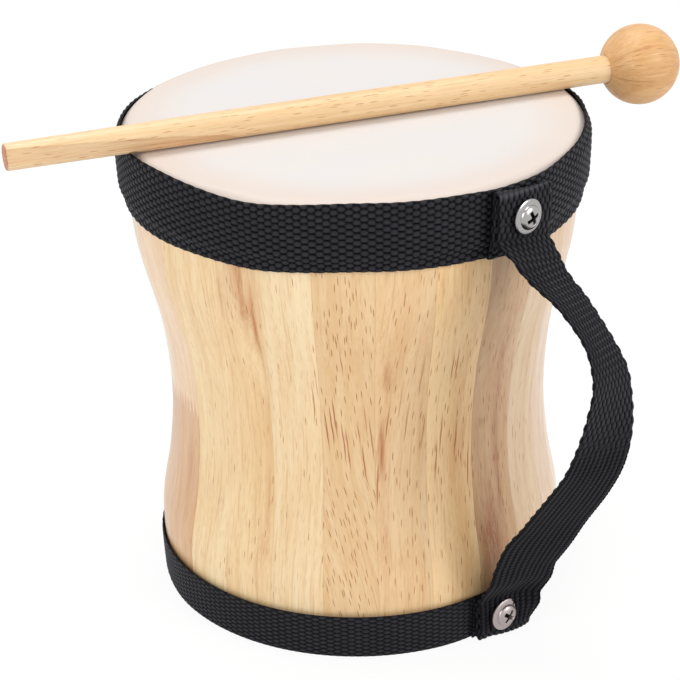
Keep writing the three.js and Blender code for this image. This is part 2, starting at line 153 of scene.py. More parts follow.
def buildPiece(name, sections, body, slot, nodes, material, sharpAngle=35, **attributes):
    # closed solid from a stack of closed sections, shape (rows, corners, 3) in mm: quads between
    # the sections, one face over each end, all turned outwards
    rows, corners = sections.shape[:2]
    points = sections.reshape(-1, 3)
    quads = gridQuads(rows, corners)
    caps = [np.arange(corners)[::-1], (rows - 1) * corners + np.arange(corners)]
    if enclosedVolume(points, quads, caps) < 0:
        quads = quads[:, ::-1]
        caps = [cap[::-1] for cap in caps]
    mesh = bpy.data.meshes.new(name)
    mesh.vertices.add(len(points))
    mesh.vertices.foreach_set("co", (points * millimetre + drumCentre).astype(np.float32).ravel())
    loops = np.concatenate([quads.ravel(), *caps])
    starts = np.concatenate([np.arange(len(quads)) * 4, len(quads) * 4 + corners * np.arange(2)])
    mesh.loops.add(len(loops))
    mesh.loops.foreach_set("vertex_index", loops.astype(np.int32))
    mesh.polygons.add(len(starts))
    mesh.polygons.foreach_set("loop_start", starts.astype(np.int32))
    mesh.update(calc_edges=True)
    mesh.validate()
    mesh.shade_smooth()
    mesh.set_sharp_from_angle(angle=math.radians(sharpAngle))
    for key, values in attributes.items():
        kind, field = {1: ("FLOAT", "value"), 3: ("FLOAT_VECTOR", "vector"),
                       4: ("FLOAT_COLOR", "color")}[values.size // len(points)]
        layer = mesh.attributes.new(key, kind, "POINT")
        layer.data.foreach_set(field, values.astype(np.float32).ravel())
    piece = bpy.data.objects.new(name, mesh)
    bpy.context.scene.collection.objects.link(piece)
    mesh.materials.append(material)
    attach(piece, body)
    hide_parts(*nodes)
    return piece


# Material tools

# Settings that many nodes share
smooth = {"interpolation_type": "SMOOTHSTEP"}
blended = {"data_type": "RGBA"}
tinted = {"data_type": "RGBA", "blend_type": "MULTIPLY"}
noiseLow, noiseHigh = 0.3, 0.7  # most of a noise texture lies between these


def linearColour(hexValue):
    # sRGB hex to linear light
    channels = [int(hexValue[i:i + 2], 16) / 255 for i in (1, 3, 5)]
    return [c / 12.92 if c <= 0.04045 else ((c + 0.055) / 1.055) ** 2.4 for c in channels] + [1.0]


def addNode(tree, kind, inputs=(), **settings):
    # one node with its settings. Inputs come by name or in the order of the live sockets; each is
    # a value, a colour's hex, a socket, or a node whose first live output is read
    node = tree.nodes.new("ShaderNode" + kind)
    for key, value in settings.items():
        setattr(node, key, value)
    if isinstance(inputs, dict):
        pairs = [(node.inputs[key], source) for key, source in inputs.items()]
    else:
        pairs = zip([socket for socket in node.inputs if socket.enabled], inputs)
    for socket, source in pairs:
        if isinstance(source, bpy.types.Node):
            source = next(output for output in source.outputs if output.enabled)
        if isinstance(source, bpy.types.NodeSocket):
            tree.links.new(source, socket)
        else:
            socket.default_value = linearColour(source) if isinstance(source, str) else source
    return node


def newMaterial(name):
    # an empty material, and addNode bound to its tree
    material = bpy.data.materials.new(name)
    material.use_nodes = True
    material.node_tree.nodes.clear()
    return material, partial(addNode, material.node_tree)


def makeWood(name, look):
    # Wood read along its own grain. Attributes: "grain" is mm across, into and along the fibres,
    # "tone" the board's colour, "lower" that of the board below its finger joint, "joint" mm
    # across and above the joint's foot (third value 1 where there is one), "figure" the brown
    # stain and painted shadow, the share of open pores and the glue line at the board's edge,
    # "vessel" mm across and along the face and the share of long pores.
    material, add = newMaterial(name)
    keys = ("grain", "tone", "lower", "joint", "figure", "vessel")
    grain, tone, lower, joint, figure, vessel = (
        add("Attribute", attribute_name=key).outputs for key in keys)

    # finger joint: teeth as a folded ramp across the board, one board's wood above them and
    # another's, from further along its grain, below
    across, above, jointed = add("SeparateXYZ", [joint["Vector"]]).outputs
    folded = add("Math", [across, look["toothHalf"]], operation="PINGPONG")
    teeth = add("Math", [folded, look["toothLength"] / look["toothHalf"]], operation="MULTIPLY")
    side = add("Math", [teeth, above], operation="SUBTRACT")
    under = add("MapRange", [side, -look["toothBlend"], look["toothBlend"], 0.0, 1.0], **smooth)
    below = add("Math", [jointed, under], operation="MULTIPLY")
    offSeam = add("Math", [side], operation="ABSOLUTE")
    nearSeam = add("MapRange", [offSeam, *look["toothSeam"], 1.0, 0.0], **smooth)
    seam = add("Math", [jointed, nearSeam], operation="MULTIPLY")
    grain = add("VectorMath", [below, look["otherLength"], grain["Vector"]], operation="MULTIPLY_ADD")
    tone = add("Mix", [below, tone["Color"], lower["Color"]], **blended)
    stainedAndShaded, openShare, glued = add("SeparateXYZ", [figure["Vector"]]).outputs

    # clouds, growth rings, streaks and fibres, each a share of one light-to-dark figure
    shade = 0.0
    for key, share, detail, distortion in look["layers"]:
        place = add("Mapping", {"Vector": grain, "Scale": [1 / size for size in look[key]]})
        fibres = add("TexNoise", {"Vector": place, "Scale": 1.0, "Detail": detail, "Roughness": 0.55,
                                  "Distortion": distortion})
        shade = add("Math", [fibres, share, shade], operation="MULTIPLY_ADD")
    darker = add("MapRange", [shade, *look["darkFrom"], 0.0, 1.0], **smooth)
    colour = add("Mix", [darker, tone, look["darkTint"]], **tinted)

    # an open pore is the core of a stretched cell on the face, in the share of cells that the board
    # has open and faint in the others: short where the turned face cuts the vessels, long where it
    # runs with them
    aside, up, longShare = add("SeparateXYZ", [vessel["Vector"]]).outputs
    waving = add("Mapping", {"Vector": vessel["Vector"], "Scale": look["waveScale"]})
    wavy = add("TexNoise", {"Vector": waving, "Scale": 1.0, "Detail": 2.0})
    aside = add("Math", [wavy, look["poreWave"], aside], operation="MULTIPLY_ADD")
    face = add("CombineXYZ", [aside, up])

    def vessels(size, share):
        place = add("Mapping", {"Vector": face, "Scale": (1 / size[0], 1 / size[1], 1.0)})
        cells = add("TexVoronoi", {"Vector": place, "Scale": 1.0}, voronoi_dimensions="2D")
        chance = add("SeparateColor", [cells.outputs["Color"]])
        spare = add("Math", [share, chance], operation="SUBTRACT")
        opened = add("MapRange", [spare, *look["poreChance"], look["faintPore"], 1.0], **smooth)
        core = add("MapRange", [cells, *look["poreCore"], 0.0, 1.0], **smooth)
        return add("Math", [core, opened], operation="MULTIPLY")

    dashes, lines = vessels(look["dashes"], openShare), vessels(look["lines"], longShare)
    pores = add("Math", [dashes, lines], operation="MAXIMUM")
    depth = add("Math", [pores, look["poreDepth"]], operation="MULTIPLY")
    colour = add("Mix", [depth, colour, look["poreTint"]], **tinted)

    # brown stain and painted strap shadow, broken up along the fibres, and the glue of seams and teeth
    streaky = add("MapRange", [shade, *look["stainAndShadowBreak"]], **smooth)
    stain = add("Math", [stainedAndShaded, streaky], operation="MULTIPLY")
    colour = add("Mix", [stain, colour, look["stainAndShadowTint"]], **tinted)
    glue = add("Math", [glued, seam], operation="MAXIMUM")
    glue = add("Math", [glue, look["glueDepth"]], operation="MULTIPLY")
    colour = add("Mix", [glue, colour, look["glueTint"]], **tinted)

    raised = add("Math", [fibres, look["fibreRelief"]], operation="MULTIPLY")
    height = add("Math", [raised, pores], operation="SUBTRACT")
    bump = add("Bump", {"Height": height, "Strength": look["bump"], "Distance": look["bumpDepth"]})
    rough = add("MapRange", [fibres, noiseLow, noiseHigh, *look["roughness"]], **smooth)
    shader = add("BsdfPrincipled", {
        "Base Color": colour, "Normal": bump, "Roughness": rough, "IOR": 1.5,
        "Coat Weight": look["coat"], "Coat Roughness": look["coatRoughness"], "Coat IOR": 1.5})
    add("OutputMaterial", [shader])
    return material


# Shell: rubberwood staves, glued up, turned to the waist and sealed with a thin satin lacquer

shell = {
    "line": ((66, 0), (66.5, 14), (66.1, 26), (62.8, 44), (61.1, 66), (63.2, 92), (69.7, 122), (71.6, 154.9)),
    "wall": 8.5,
    "staves": 24,
    "firstSeam": -145.5,
    "jointGap": 0.02,  # mm, filled with glue
    "easedEdge": 0.05,
    "easeFrom": 0.97,  # share of a stave's half width
    "glueFrom": 0.99,
    "bearingRound": 3.0,
    "chamfer": 0.8,
    "lineSteps": 60,
    "outerSteps": 83,
    "arcSteps": 8,
    "innerSteps": 26,
    "waist": 62.0,  # height that the lean of the fibres turns at
    "sway": (0.9, 23.0, 2.1),  # of the fibres: mm aside, mm up per radian, radians per board
    "patternStep": (53.0, 29.0, 71.0),  # mm from board to board, so that no two have one pattern
    "patternDepth": 65.0,  # radius at which the pattern's depth is 0
    "toothShift": 50.0,
}
# Where a stave's columns stand across its half width: closer together at its eased edges
staveColumns = np.concatenate([[-1, -0.985], np.linspace(-0.95, 0.95, 11), [0.985, 1]])
shellTop = shell["line"][-1][1]
roundStart = shellTop - shell["bearingRound"]
shellLine = splineThrough(shell["line"], shell["lineSteps"], spacing=0)


def shellRadius(height):
    # radius of the turned outside: the spline through the measured radii, read at a height
    return np.interp(height, shellLine[:, 1], shellLine[:, 0])


def arcPoints(centreRadius, centreHeight, radius, steps):
    # quarter circle from pointing outwards to pointing up, as radius and height
    turn = np.linspace(0, np.pi / 2, steps + 1)
    return np.column_stack([centreRadius + radius * np.cos(turn), centreHeight + radius * np.sin(turn)])


def wallOutline():
    # up the outside, over the rounded bearing edge and down the inside
    outerHeights = np.linspace(shell["chamfer"], roundStart, shell["outerSteps"], endpoint=False)
    innerHeights = np.linspace(roundStart, shell["chamfer"], shell["innerSteps"])
    lip = shell["line"][-1][0]
    return np.vstack([
        [[shell["line"][0][0] - shell["chamfer"], 0]],
        np.column_stack([shellRadius(outerHeights), outerHeights]),
        arcPoints(lip - shell["bearingRound"], roundStart, shell["bearingRound"], shell["arcSteps"]),
        [[lip - shell["wall"] + shell["chamfer"], shellTop]],
        np.column_stack([shellRadius(innerHeights) - shell["wall"], innerHeights]),
        [[shell["line"][0][0] - shell["wall"] + shell["chamfer"], 0]],
    ])


# Boards in the order they stand round the drum, from the first seam: colour, brown stain, share
# of open pores, growth rings (degrees from square to the face), lean of the fibres above and
# below the waist (mm aside per mm up)
boards = [
    ("#fde2b2", 0.03, 0.08, 65, 0.02, 0.05), ("#fde0af", 0.05, 0.12, 50, -0.02, 0.04),
    ("#fbe1b6", 0.0, 0.10, 82, 0.0, 0.02), ("#f2d2a3", 0.05, 0.30, 60, -0.05, -0.22),
    ("#f3d1a1", 0.06, 0.26, 70, 0.07, 0.05), ("#fcd8a3", 0.06, 0.26, 45, 0.03, 0.0),
    ("#d7b48a", 0.16, 0.24, 55, 0.0, 0.04), ("#e3c7a3", 0.04, 0.12, 75, 0.02, 0.02),
    # the second board on this line stands at the right-hand silhouette: its pale pinkish colour is its tone
    # with a painted reflection of the white surroundings
    ("#e9d0b8", 0.02, 0.10, 50, 0.0, 0.0), ("#f5e2d0", 0.04, 0.14, 60, 0.03, -0.04),
    ("#ecd3b8", 0.08, 0.22, 40, -0.03, 0.06), ("#f5deb4", 0.02, 0.06, 80, 0.0, 0.02),
    ("#eed0a0", 0.06, 0.34, 55, 0.05, -0.1), ("#f3d9ac", 0.03, 0.08, 65, 0.0, 0.04),
    ("#e5bf93", 0.12, 0.18, 45, -0.04, 0.02), ("#f4dcb0", 0.03, 0.08, 70, 0.02, 0.0),
    ("#efd3a6", 0.05, 0.3, 60, 0.0, -0.08), ("#f6e0b6", 0.02, 0.06, 50, 0.03, 0.03),
    ("#e9c79a", 0.08, 0.32, 75, -0.05, 0.0), ("#f2d7aa", 0.04, 0.12, 55, 0.02, 0.05),
    ("#f5ddb1", 0.03, 0.08, 65, 0.0, -0.02), ("#efd6b8", 0.05, 0.16, 45, 0.04, 0.06),
    # the first board on this line stands at the left-hand silhouette: its pale pinkish colour is its tone
    # with a painted reflection of the white surroundings
    ("#f8e6d0", 0.03, 0.08, 70, 0.0, 0.0), ("#fbdebd", 0.02, 0.06, 60, 0.0, 0.03),
]

# Boards joined from two lengths by finger joints: height of the joint's foot, colour below it
joints = {
    22: (66.8, "#e6c3a0"), 23: (67.4, "#e3b98c"), 10: (98.0, "#f3dab0"), 13: (41.0, "#e6c294"),
    16: (112.0, "#f5dfb6"), 19: (58.0, "#e9c89c"),
}

# Brown streaks and patches on the front: angle, height, half-width and half-length in mm, strength. The wide
# patches at -59, -50.5 and -52.8 degrees are painted shadow of the strap
stainsAndShadows = [
    (-119.8, 130, 4.6, 13, 0.75), (-118.0, 119, 2.8, 10, 0.75), (-116.2, 108, 0.9, 8, 0.8),
    (-115.9, 119, 0.45, 13, 1.4), (-137.0, 92, 0.6, 24, 0.25), (-124.5, 122, 0.5, 12, 0.5),
    (-116.5, 80, 0.8, 22, 0.4), (-117.6, 42, 1.0, 22, 0.35), (-119.5, 27, 1.5, 12, 0.3),
    (-106.0, 78, 0.4, 9, 0.35), (-82.0, 96, 1.6, 7, 0.45), (-83.7, 70, 0.45, 12, 0.9),
    (-83.0, 42, 1.5, 18, 0.45), (-72.0, 76, 1.0, 22, 0.35), (-59.0, 72, 5.0, 22, 0.45),
    (-46.0, 66, 3.6, 60, 0.45), (-47.0, 96, 0.9, 5, 0.8), (-45.0, 58, 0.8, 4, 0.8),
    (-52.0, 73, 0.6, 1.6, 0.9), (-134.0, 44, 0.35, 0.7, 0.9), (-31.0, 80, 0.7, 50, 0.35),
    (-28.0, 70, 0.6, 50, 0.3), (-151.0, 46, 2.4, 16, 0.3), (-155.0, 30, 1.6, 14, 0.25),
    (-50.5, 34, 4.2, 20, 0.95), (-52.8, 30, 1.8, 14, 0.7),
]

# Places with more open pores: angle, height, half-width and half-length in mm, share of short
# dashes and of long lines
poreFields = [
    (-93.0, 36, 8, 24, 0.5, 0.0), (-93.0, 79, 7, 17, 0.0, 1.1), (-94.0, 112, 8, 22, 0.5, 0.0),
    (-84.0, 66, 4, 18, 0.0, 0.6), (-78.0, 60, 7, 40, 0.25, 0.3), (-62.0, 74, 8, 26, 0.3, 0.9),
    (-46.0, 60, 6, 50, 0.4, 0.3), (-121.0, 122, 5, 10, 0.2, 0.0), (-128.0, 34, 9, 20, 0.15, 0.0),
    (-36.0, 50, 6, 30, 0.15, 0.2),
]

woodLook = {
    # sizes in mm across, into and along the fibres; each layer's share, detail and distortion
    "clouds": (12.0, 12.0, 80.0), "rings": (60.0, 2.6, 200.0),
    "streaks": (2.2, 2.2, 60.0), "fibres": (0.38, 0.38, 14.0),
    "layers": (("clouds", 0.28, 1.0, 0.0), ("rings", 0.26, 1.0, 0.5), ("streaks", 0.24, 2.0, 0.3),
               ("fibres", 0.22, 2.0, 0.0)),
    "darkFrom": (0.62, 0.38), "darkTint": "#f4e9d8",
    # cells across and along the face in mm, the core's edge and middle as shares of a cell
    "dashes": (0.85, 9.5), "lines": (1.45, 46.0), "poreCore": (0.21, 0.0945),
    "poreWave": 0.8, "waveScale": (0.35, 0.12, 0.0), "poreChance": (-0.04, 0.14), "faintPore": 0.22,
    "poreDepth": 0.9, "poreTint": "#c08656",
    "toothHalf": 1.15, "toothLength": 6.6, "toothBlend": 0.15, "toothSeam": (0.2, 0.9),
    "otherLength": (31.0, 17.0, 43.0),  # mm that the lower length's pattern is moved by
    "stainAndShadowBreak": (0.6, 0.4, 0.6, 1.3), "stainAndShadowTint": "#c99268", "glueDepth": 0.3, "glueTint": "#d3a878",
    "fibreRelief": 0.12, "bump": 0.2, "bumpDepth": 0.0002,
    "roughness": (0.42, 0.52), "coat": 0.45, "coatRoughness": 0.3,
}
shellWood = makeWood("rubberwood_turned_satin_lacquer", woodLook)


def spread2d(fields, angle, height, radius):
    # each field's strength by exp(-(across/wide)^2 - (up/long)^2), the strongest one kept
    total = np.zeros(np.broadcast(angle, height).shape)
    for centreAngle, centreHeight, wide, long, strength in fields[:, :5]:
        offset = (np.degrees(angle) - centreAngle + 180) % 360 - 180
        away = (np.radians(offset) * radius / wide) ** 2 + ((height - centreHeight) / long) ** 2
        total = np.maximum(total, strength * np.exp(-away))
    return total


def woodMarks(grain, figure, vessel, tone, lower=None, joint=(0.0, 0.0, 0.0)):
    # the attributes that the wood is read from, each spread over the piece's points
    shape = np.broadcast(*grain).shape
    fields = {"grain": grain, "figure": figure, "vessel": vessel, "joint": joint,
              "tone": linearColour(tone), "lower": linearColour(lower or tone)}
    return {key: np.stack([np.broadcast_to(part, shape) for part in parts], axis=-1)
            for key, parts in fields.items()}


def makeStave(index):
    # one stave: the wall's outline carried through its 15 degrees, with its edges eased
    outline = wallOutline()
    half = math.pi / shell["staves"]
    middle = math.radians(shell["firstSeam"]) + half * (2 * index + 1)
    radius, height = outline[None, :, 0], outline[None, :, 1]
    reach = half - shell["jointGap"] / 2 / radius
    angle = middle + staveColumns[:, None] * reach
    outside = np.zeros(len(outline))
    outside[1:1 + shell["outerSteps"] + shell["arcSteps"]] = 1
    toEdge = np.abs(staveColumns)[:, None]
    eased = radius - shell["easedEdge"] * smoothStep(shell["easeFrom"], 1, toEdge) * outside
    sections = radialPoint(angle, eased, height)

    tone, stain, pores, ringTurn, upperLean, lowerLean = boards[index]
    jointFoot, lowerTone = joints.get(index, (0.0, tone))
    turn = math.radians(ringTurn)
    fromWaist = height - shell["waist"]
    lean = np.where(fromWaist > 0, upperLean, lowerLean)
    aside, perRadian, perBoard = shell["sway"]
    drift = lean * fromWaist + aside * np.sin(height / perRadian + perBoard * index)
    across, depth = radius * np.sin(angle - middle), radius * np.cos(angle - middle) - shell["patternDepth"]
    fibre = across - drift
    acrossShift, depthShift, alongShift = (step * index for step in shell["patternStep"])
    # brown stain, with the strap's painted shadow where the list holds it
    brown = np.maximum(stain, spread2d(np.array(stainsAndShadows), angle, height, radius))
    fields = np.array(poreFields)
    opened = pores + spread2d(fields, angle, height, radius)
    lines = spread2d(fields[:, [0, 1, 2, 3, 5]], angle, height, radius)
    marks = woodMarks(
        grain=(fibre * math.cos(turn) + depth * math.sin(turn) + acrossShift,
               depth * math.cos(turn) - fibre * math.sin(turn) + depthShift, height + alongShift),
        figure=(brown, opened, 1.0 * (toEdge > shell["glueFrom"])),
        vessel=(fibre + acrossShift, height + alongShift, lines),
        joint=(across + shell["toothShift"], height - jointFoot, float(index in joints)),
        tone=tone, lower=lowerTone)
    number = f"{index + 1:02d}"
    return buildPiece(f"turned_stave_{number}", sections, "drum", "shell_wood", [f"stave_{number}"],
                      shellWood, **marks)


for index in range(shell["staves"]):
    makeStave(index)
print("shell made")


# Head: one goat rawhide, soaked, drawn over the bearing edge and dried tight

head = {
    "thickness": 1.0,
    "gap": 0.3,
    "skirt": 16.0,
    "facets": 288,
    "middle": 0.4,  # radius of the last ring
    "skirtSteps": 7,
    "arcSteps": (10, 8),
    "flatSteps": 26,
    # the hide's unevenness: mm, each wave's count round the drum, share and start, and the radii
    # and height that it fades in over
    "unevenness": 0.12,
    "waves": ((5, 1.0, 0.6), (9, 0.7, 2.1), (17, 0.5, 0.0)),
    "waveFrom": (40, 66),
    "waveAbove": 150,
    "warmFrom": (50, 72),
    "warmth": 0.8,
}
headTop = shellTop + head["gap"] + head["thickness"]
skirtBottom = headTop - head["skirt"]


rawhideLook = {
    # patterns per metre: clouds 22 mm across, fleck of 1.1 mm, cells of 6.25 mm that may hold a root
    "clouds": 45.0, "fleck": 900.0, "roots": 160.0,
    "cloudRamp": ((0.3, "#dddad9"), (0.72, "#e1dbd6")),
    "edge": "#dfcec1",
    "root": "#6b5548",
    "rootsFrom": 0.985,  # one cell in about 70 holds a hair root
    "rootSize": (0.10, 0.04),
    "rootDepth": 0.6,
    "roughness": (0.52, 0.66),
}


def makeRawhide(look):
    # scraped hide: off-white, clouded warm and cool, a few dark hair roots, dull with a soft shine
    material, add = newMaterial("goat_rawhide_scraped")
    place = add("TexCoord").outputs["Object"]
    clouds = add("TexNoise", {"Vector": place, "Scale": look["clouds"], "Detail": 4.0})
    fleck = add("TexNoise", {"Vector": place, "Scale": look["fleck"], "Detail": 3.0})
    roots = add("TexVoronoi", {"Vector": place, "Scale": look["roots"]})
    cloudy = add("ValToRGB", [clouds])
    for element, (position, hexValue) in zip(cloudy.color_ramp.elements, look["cloudRamp"]):
        element.position, element.color = position, linearColour(hexValue)
    nearEdge = add("Attribute", attribute_name="edge").outputs["Fac"]
    edged = add("Mix", [nearEdge, cloudy, look["edge"]], **blended)
    chance = add("SeparateColor", [roots.outputs["Color"]])
    rare = add("Math", [chance, look["rootsFrom"]], operation="GREATER_THAN")
    dot = add("MapRange", [roots, *look["rootSize"], 0.0, look["rootDepth"]])
    spot = add("Math", [rare, dot], operation="MULTIPLY")
    colour = add("Mix", [spot, edged, look["root"]], **blended)
    bump = add("Bump", {"Height": fleck, "Strength": 0.25, "Distance": 0.0001})
    rough = add("MapRange", [clouds, noiseLow, noiseHigh, *look["roughness"]])
    shader = add("BsdfPrincipled", {
        "Base Color": colour, "Roughness": rough, "IOR": 1.45, "Normal": bump})
    add("OutputMaterial", [shader])
    return material


def makeHead():
    # a profile turned about the axis: flat top, quarter round over the edge, skirt down and back up
    lip = shell["line"][-1][0]
    skirt = np.linspace(skirtBottom, roundStart, head["skirtSteps"], endpoint=False)
    outer, inner = head["gap"] + head["thickness"], head["gap"]
    centre = lip - shell["bearingRound"]
    flat = np.linspace(centre, head["middle"], head["flatSteps"])[1:]
    outerArc, innerArc = head["arcSteps"]
    up = np.vstack([
        np.column_stack([shellRadius(skirt) + outer, skirt]),
        arcPoints(centre, roundStart, shell["bearingRound"] + outer, outerArc),
        np.column_stack([flat, np.full(flat.shape, headTop)]),
    ])
    down = np.vstack([
        np.column_stack([shellRadius(skirt) + inner, skirt]),
        arcPoints(centre, roundStart, shell["bearingRound"] + inner, innerArc),
        np.column_stack([flat, np.full(flat.shape, headTop - head["thickness"])]),
    ])
    profile = np.vstack([down[::-1], up])
    angle = np.linspace(0, 2 * np.pi, head["facets"], endpoint=False)[None, :]
    radius, height = profile[:, :1], profile[:, 1:]
    # the hide lies a little uneven near its edge: a sum of slow waves round the drum
    wave = sum(share * np.sin(count * angle + start) for count, share, start in head["waves"])
    lift = head["unevenness"] * wave * smoothStep(*head["waveFrom"], radius)
    lift = lift * smoothStep(head["waveAbove"], headTop, height)
    lift = lift * (height > headTop - 0.5 * head["thickness"])
    sections = radialPoint(angle, radius, height + lift)
    edge = np.broadcast_to(smoothStep(*head["warmFrom"], radius) * head["warmth"], sections.shape[:2])
    return buildPiece("rawhide_head", sections, "drum", "head_skin", ["head_skin"],
                      makeRawhide(rawhideLook), edge=edge)


makeHead()
print("head made")


# Webbing: black polypropylene, plain weave. Bumps are the warp yarns where they pass over a weft.

weave = {
    "warp": 1.0,  # mm between neighbouring warp yarns
    "weft": 2.13,  # mm between neighbouring wefts
    "floatLong": 0.6,  # half length of a float, as a share of the weft spacing
    "floatWide": 0.92,  # half width of a float, as a share of the warp spacing
    "relief": 0.62,
    "selvedge": 0.3,
    "perWeft": 6,  # rows of points
    "perWarp": 3,
    "backColumns": 9,
    "edgeThin": (0.6, 0.2),  # mm that the tape thins over at its edges, and by what share
    "bulge": (0.6, 1.2),  # share of a selvedge bulge that is drawn in, and yarns that it spreads over
}
fineWeave = dict(weave, warp=0.78, weft=2.23, relief=0.3, selvedge=0.0)


def floatHeight(along, across, cloth):
    # height of the nearest yarn float, 0 to 1: a pillow, sqrt(1 - |u|^3 - v^2), on each crossing
    # where the warp is on top; every second warp is moved on by one weft
    top = np.zeros(np.broadcast(along, across).shape)
    nearest = np.round(across / cloth["warp"])
    for step in (-1, 0, 1):
        yarn = nearest + step
        phase = along / cloth["weft"] - yarn
        offAlong = (phase - 2 * np.round(phase / 2)) / cloth["floatLong"]
        offAcross = (across / cloth["warp"] - yarn) / cloth["floatWide"]
        top = np.maximum(top, 1 - np.abs(offAlong) ** 3 - offAcross**2)
    return np.sqrt(np.clip(top, 0, 1))


def selvedgePull(along, across, width, cloth):
    # the edge yarn bulges once every two wefts: |cos| of the length, faded in over the last yarn
    drawnIn, yarns = cloth["bulge"]
    bulge = np.abs(np.cos(np.pi * along / (2 * cloth["weft"]) + np.pi / 4 * np.sign(across)))
    return cloth["selvedge"] * (bulge - drawnIn) * np.sign(across) * smoothStep(
        width / 2 - yarns * cloth["warp"], width / 2, np.abs(across))


def tapeEdge(across, width):
    # share of the thickness left near the tape's edges
    over, share = weave["edgeThin"]
    return 1 - share * smoothStep(width / 2 - over, width / 2, np.abs(across))


def makeWebbingMaterial(name, look):
    # woven multifilament polypropylene: near black, each float a soft grey shine along its yarn;
    # painted shade darkens the grooves between floats, and a painted highlight lies on crests and folds
    material, add = newMaterial(name)
    cloth, height, paintedHighlight = (
        add("Attribute", attribute_name=key).outputs for key in ("cloth", "float", "crest"))
    noises = []
    for scale, detail in (look["threads"], look["wearing"]):
        place = add("Mapping", {"Vector": cloth["Vector"], "Scale": scale})
        noises.append(add("TexNoise", {"Vector": place, "Scale": 1.0, "Detail": detail}))
    threads, wearing = noises
    lifted = add("MapRange", [height["Fac"], look["valleyTop"], 1.0, 0.0, 1.0])
    dusty = add("MapRange", [wearing, *look["dust"]])
    greyed = add("Mix", [dusty, look["yarn"], look["worn"]], **blended)
    # painted shade: the grooves between floats and the inner face take the dark first colour
    colour = add("Mix", [lifted, look["grooveShade"], greyed], **blended)
    # painted highlight on the opened picks' crests and along the upper fold
    bright = add("Mix", [paintedHighlight["Fac"], colour, look["crest"]], **blended)
    shine = add("MapRange", [lifted, 0.0, 1.0, look["deepShine"], look["shine"]])
    bump = add("Bump", {"Height": threads, "Strength": 0.35, "Distance": 0.00015})
    rough = add("MapRange", [threads, noiseLow, noiseHigh, *look["roughness"]])
    shader = add("BsdfPrincipled", {
        "Base Color": bright, "Roughness": rough, "IOR": 1.49, "Specular IOR Level": shine,
        "Normal": bump})
    add("OutputMaterial", [shader])
    return material


webbingLook = {
    # the first colour is painted shade in the grooves; crest is the colour of the painted highlight
    "grooveShade": "#111114", "yarn": "#2a2a2f", "worn": "#34343a", "crest": "#77777f",
    "valleyTop": 0.35,  # share of a float's height that is still groove, painted dark as its shade
    "deepShine": 0.04, "shine": 0.17, "roughness": (0.44, 0.62),
    # per mm along and across the tape, and detail: threads 2 mm by 0.14 mm, wear 8 mm by 5 mm
    "threads": ((0.5, 7.0, 1.0), 2.0), "wearing": ((0.12, 0.2, 1.0), 3.0),
    "dust": (0.35, 0.7, 0.0, 0.5),
}
blackWebbing = makeWebbingMaterial("polypropylene_webbing_black", webbingLook)

handle = {
    "width": 20.0,
    "spread": 0.8,  # mm that the woven edges stand wider than the nominal tape
    "relief": 0.45,
    "cord": (1.75, 1.45),  # mm between the cords of the closed-up part, and between their notches
    "cordRelief": 0.35,
    "notch": (0.24, 0.6),  # depth and lean
    "cordFade": (0.09, 15, 70),  # share of the cords' height lost low down, between which heights; this also deepens the painted groove shade there
    "slit": (0.75, 0.16),  # between opened yarns: depth, and width as a share of the spacing
    "crest": (0.1, 0.06),  # of an opened pick: width as a share of its spacing, and strength of its painted highlight
    "openedFrom": (-9, -1),  # mm across
    # heights where each state rises and falls: the bend eased, the yarns opened, the cords closed
    "easedOver": (7, 11, 26, 34),
    "openedOver": (102, 112, 133, 140),
    "cordedOver": (1, 6, 76, 96),
    "easedRows": 6,
    "pull": (0.35, 14, 34),  # the selvedge's share on the tab, and the heights that it grows over
    "tightPull": 0.6,
    "foldAt": 18.4,
    "foldHighlight": (0.35, 0.22),  # mm of the upper fold that gets a painted highlight, and how bright
    "thickness": 1.3,
    "reach": 36.7,
    "twist": 27.6,
    "sway": 3.9,
    "upperAngle": -52.3,
    "lowerAngle": -49.9,
    "upperLean": -6.0,
    "belowRim": 0.2,
    "upperTail": 18.0,
    "lowerTail": 14.0,
    "upperBeyondScrew": 1.1,
    "lowerBeyondScrew": 0.8,
    "flatLead": 8.0,
    "tabFade": 22.0,
    "layerGap": 0.25,
    "spanSteps": 24,
    "foldSteps": 13,
    "tailClear": 0.1,
}
rimBand = {
    "width": 20.4,
    "thickness": 1.3,
    "belowHead": 0.4,
    "tabAngle": handle["upperAngle"],
    "gap": 0.3,
    "selvedge": 0.5,
    "cloth": weave,
    "pastTab": -2.0,
    # by angle: how far the upper edge is drawn in; how far the upper and the lower edge wander and
    # the band stands off; and how far, over what length, the lap's own start is dropped
    "drawnIn": ((-180, 1.4), (-155, 0), (-40, 0), (0, 1.6), (170, 1.6)),
    "startDrop": (1.3, 24.0),
    "wander": (
        (-180, 0.7, -1.8, 0), (-150, 1.3, -1.6, 0), (-142, 1.7, -1.5, 0), (-130, 0.8, -1.1, 0),
        (-120, -0.4, -1.4, 0), (-114, -0.9, -1.8, 0), (-102, 0.3, -0.8, 0), (-91, 1.2, -0.1, 0),
        (-80, 0.6, -0.7, 0), (-62, 0.2, -1.3, 0), (-35, 0.4, -2.7, 0), (-15, 0.7, -2.8, 0),
        (5, 1.2, -2.4, 0), (22, -0.2, -2.0, 0), (50, -2.6, -0.5, 0), (134, -2.6, -0.8, 0),
        (150, -1.5, -1.1, 0), (165, 0.0, -1.5, 0)),
}
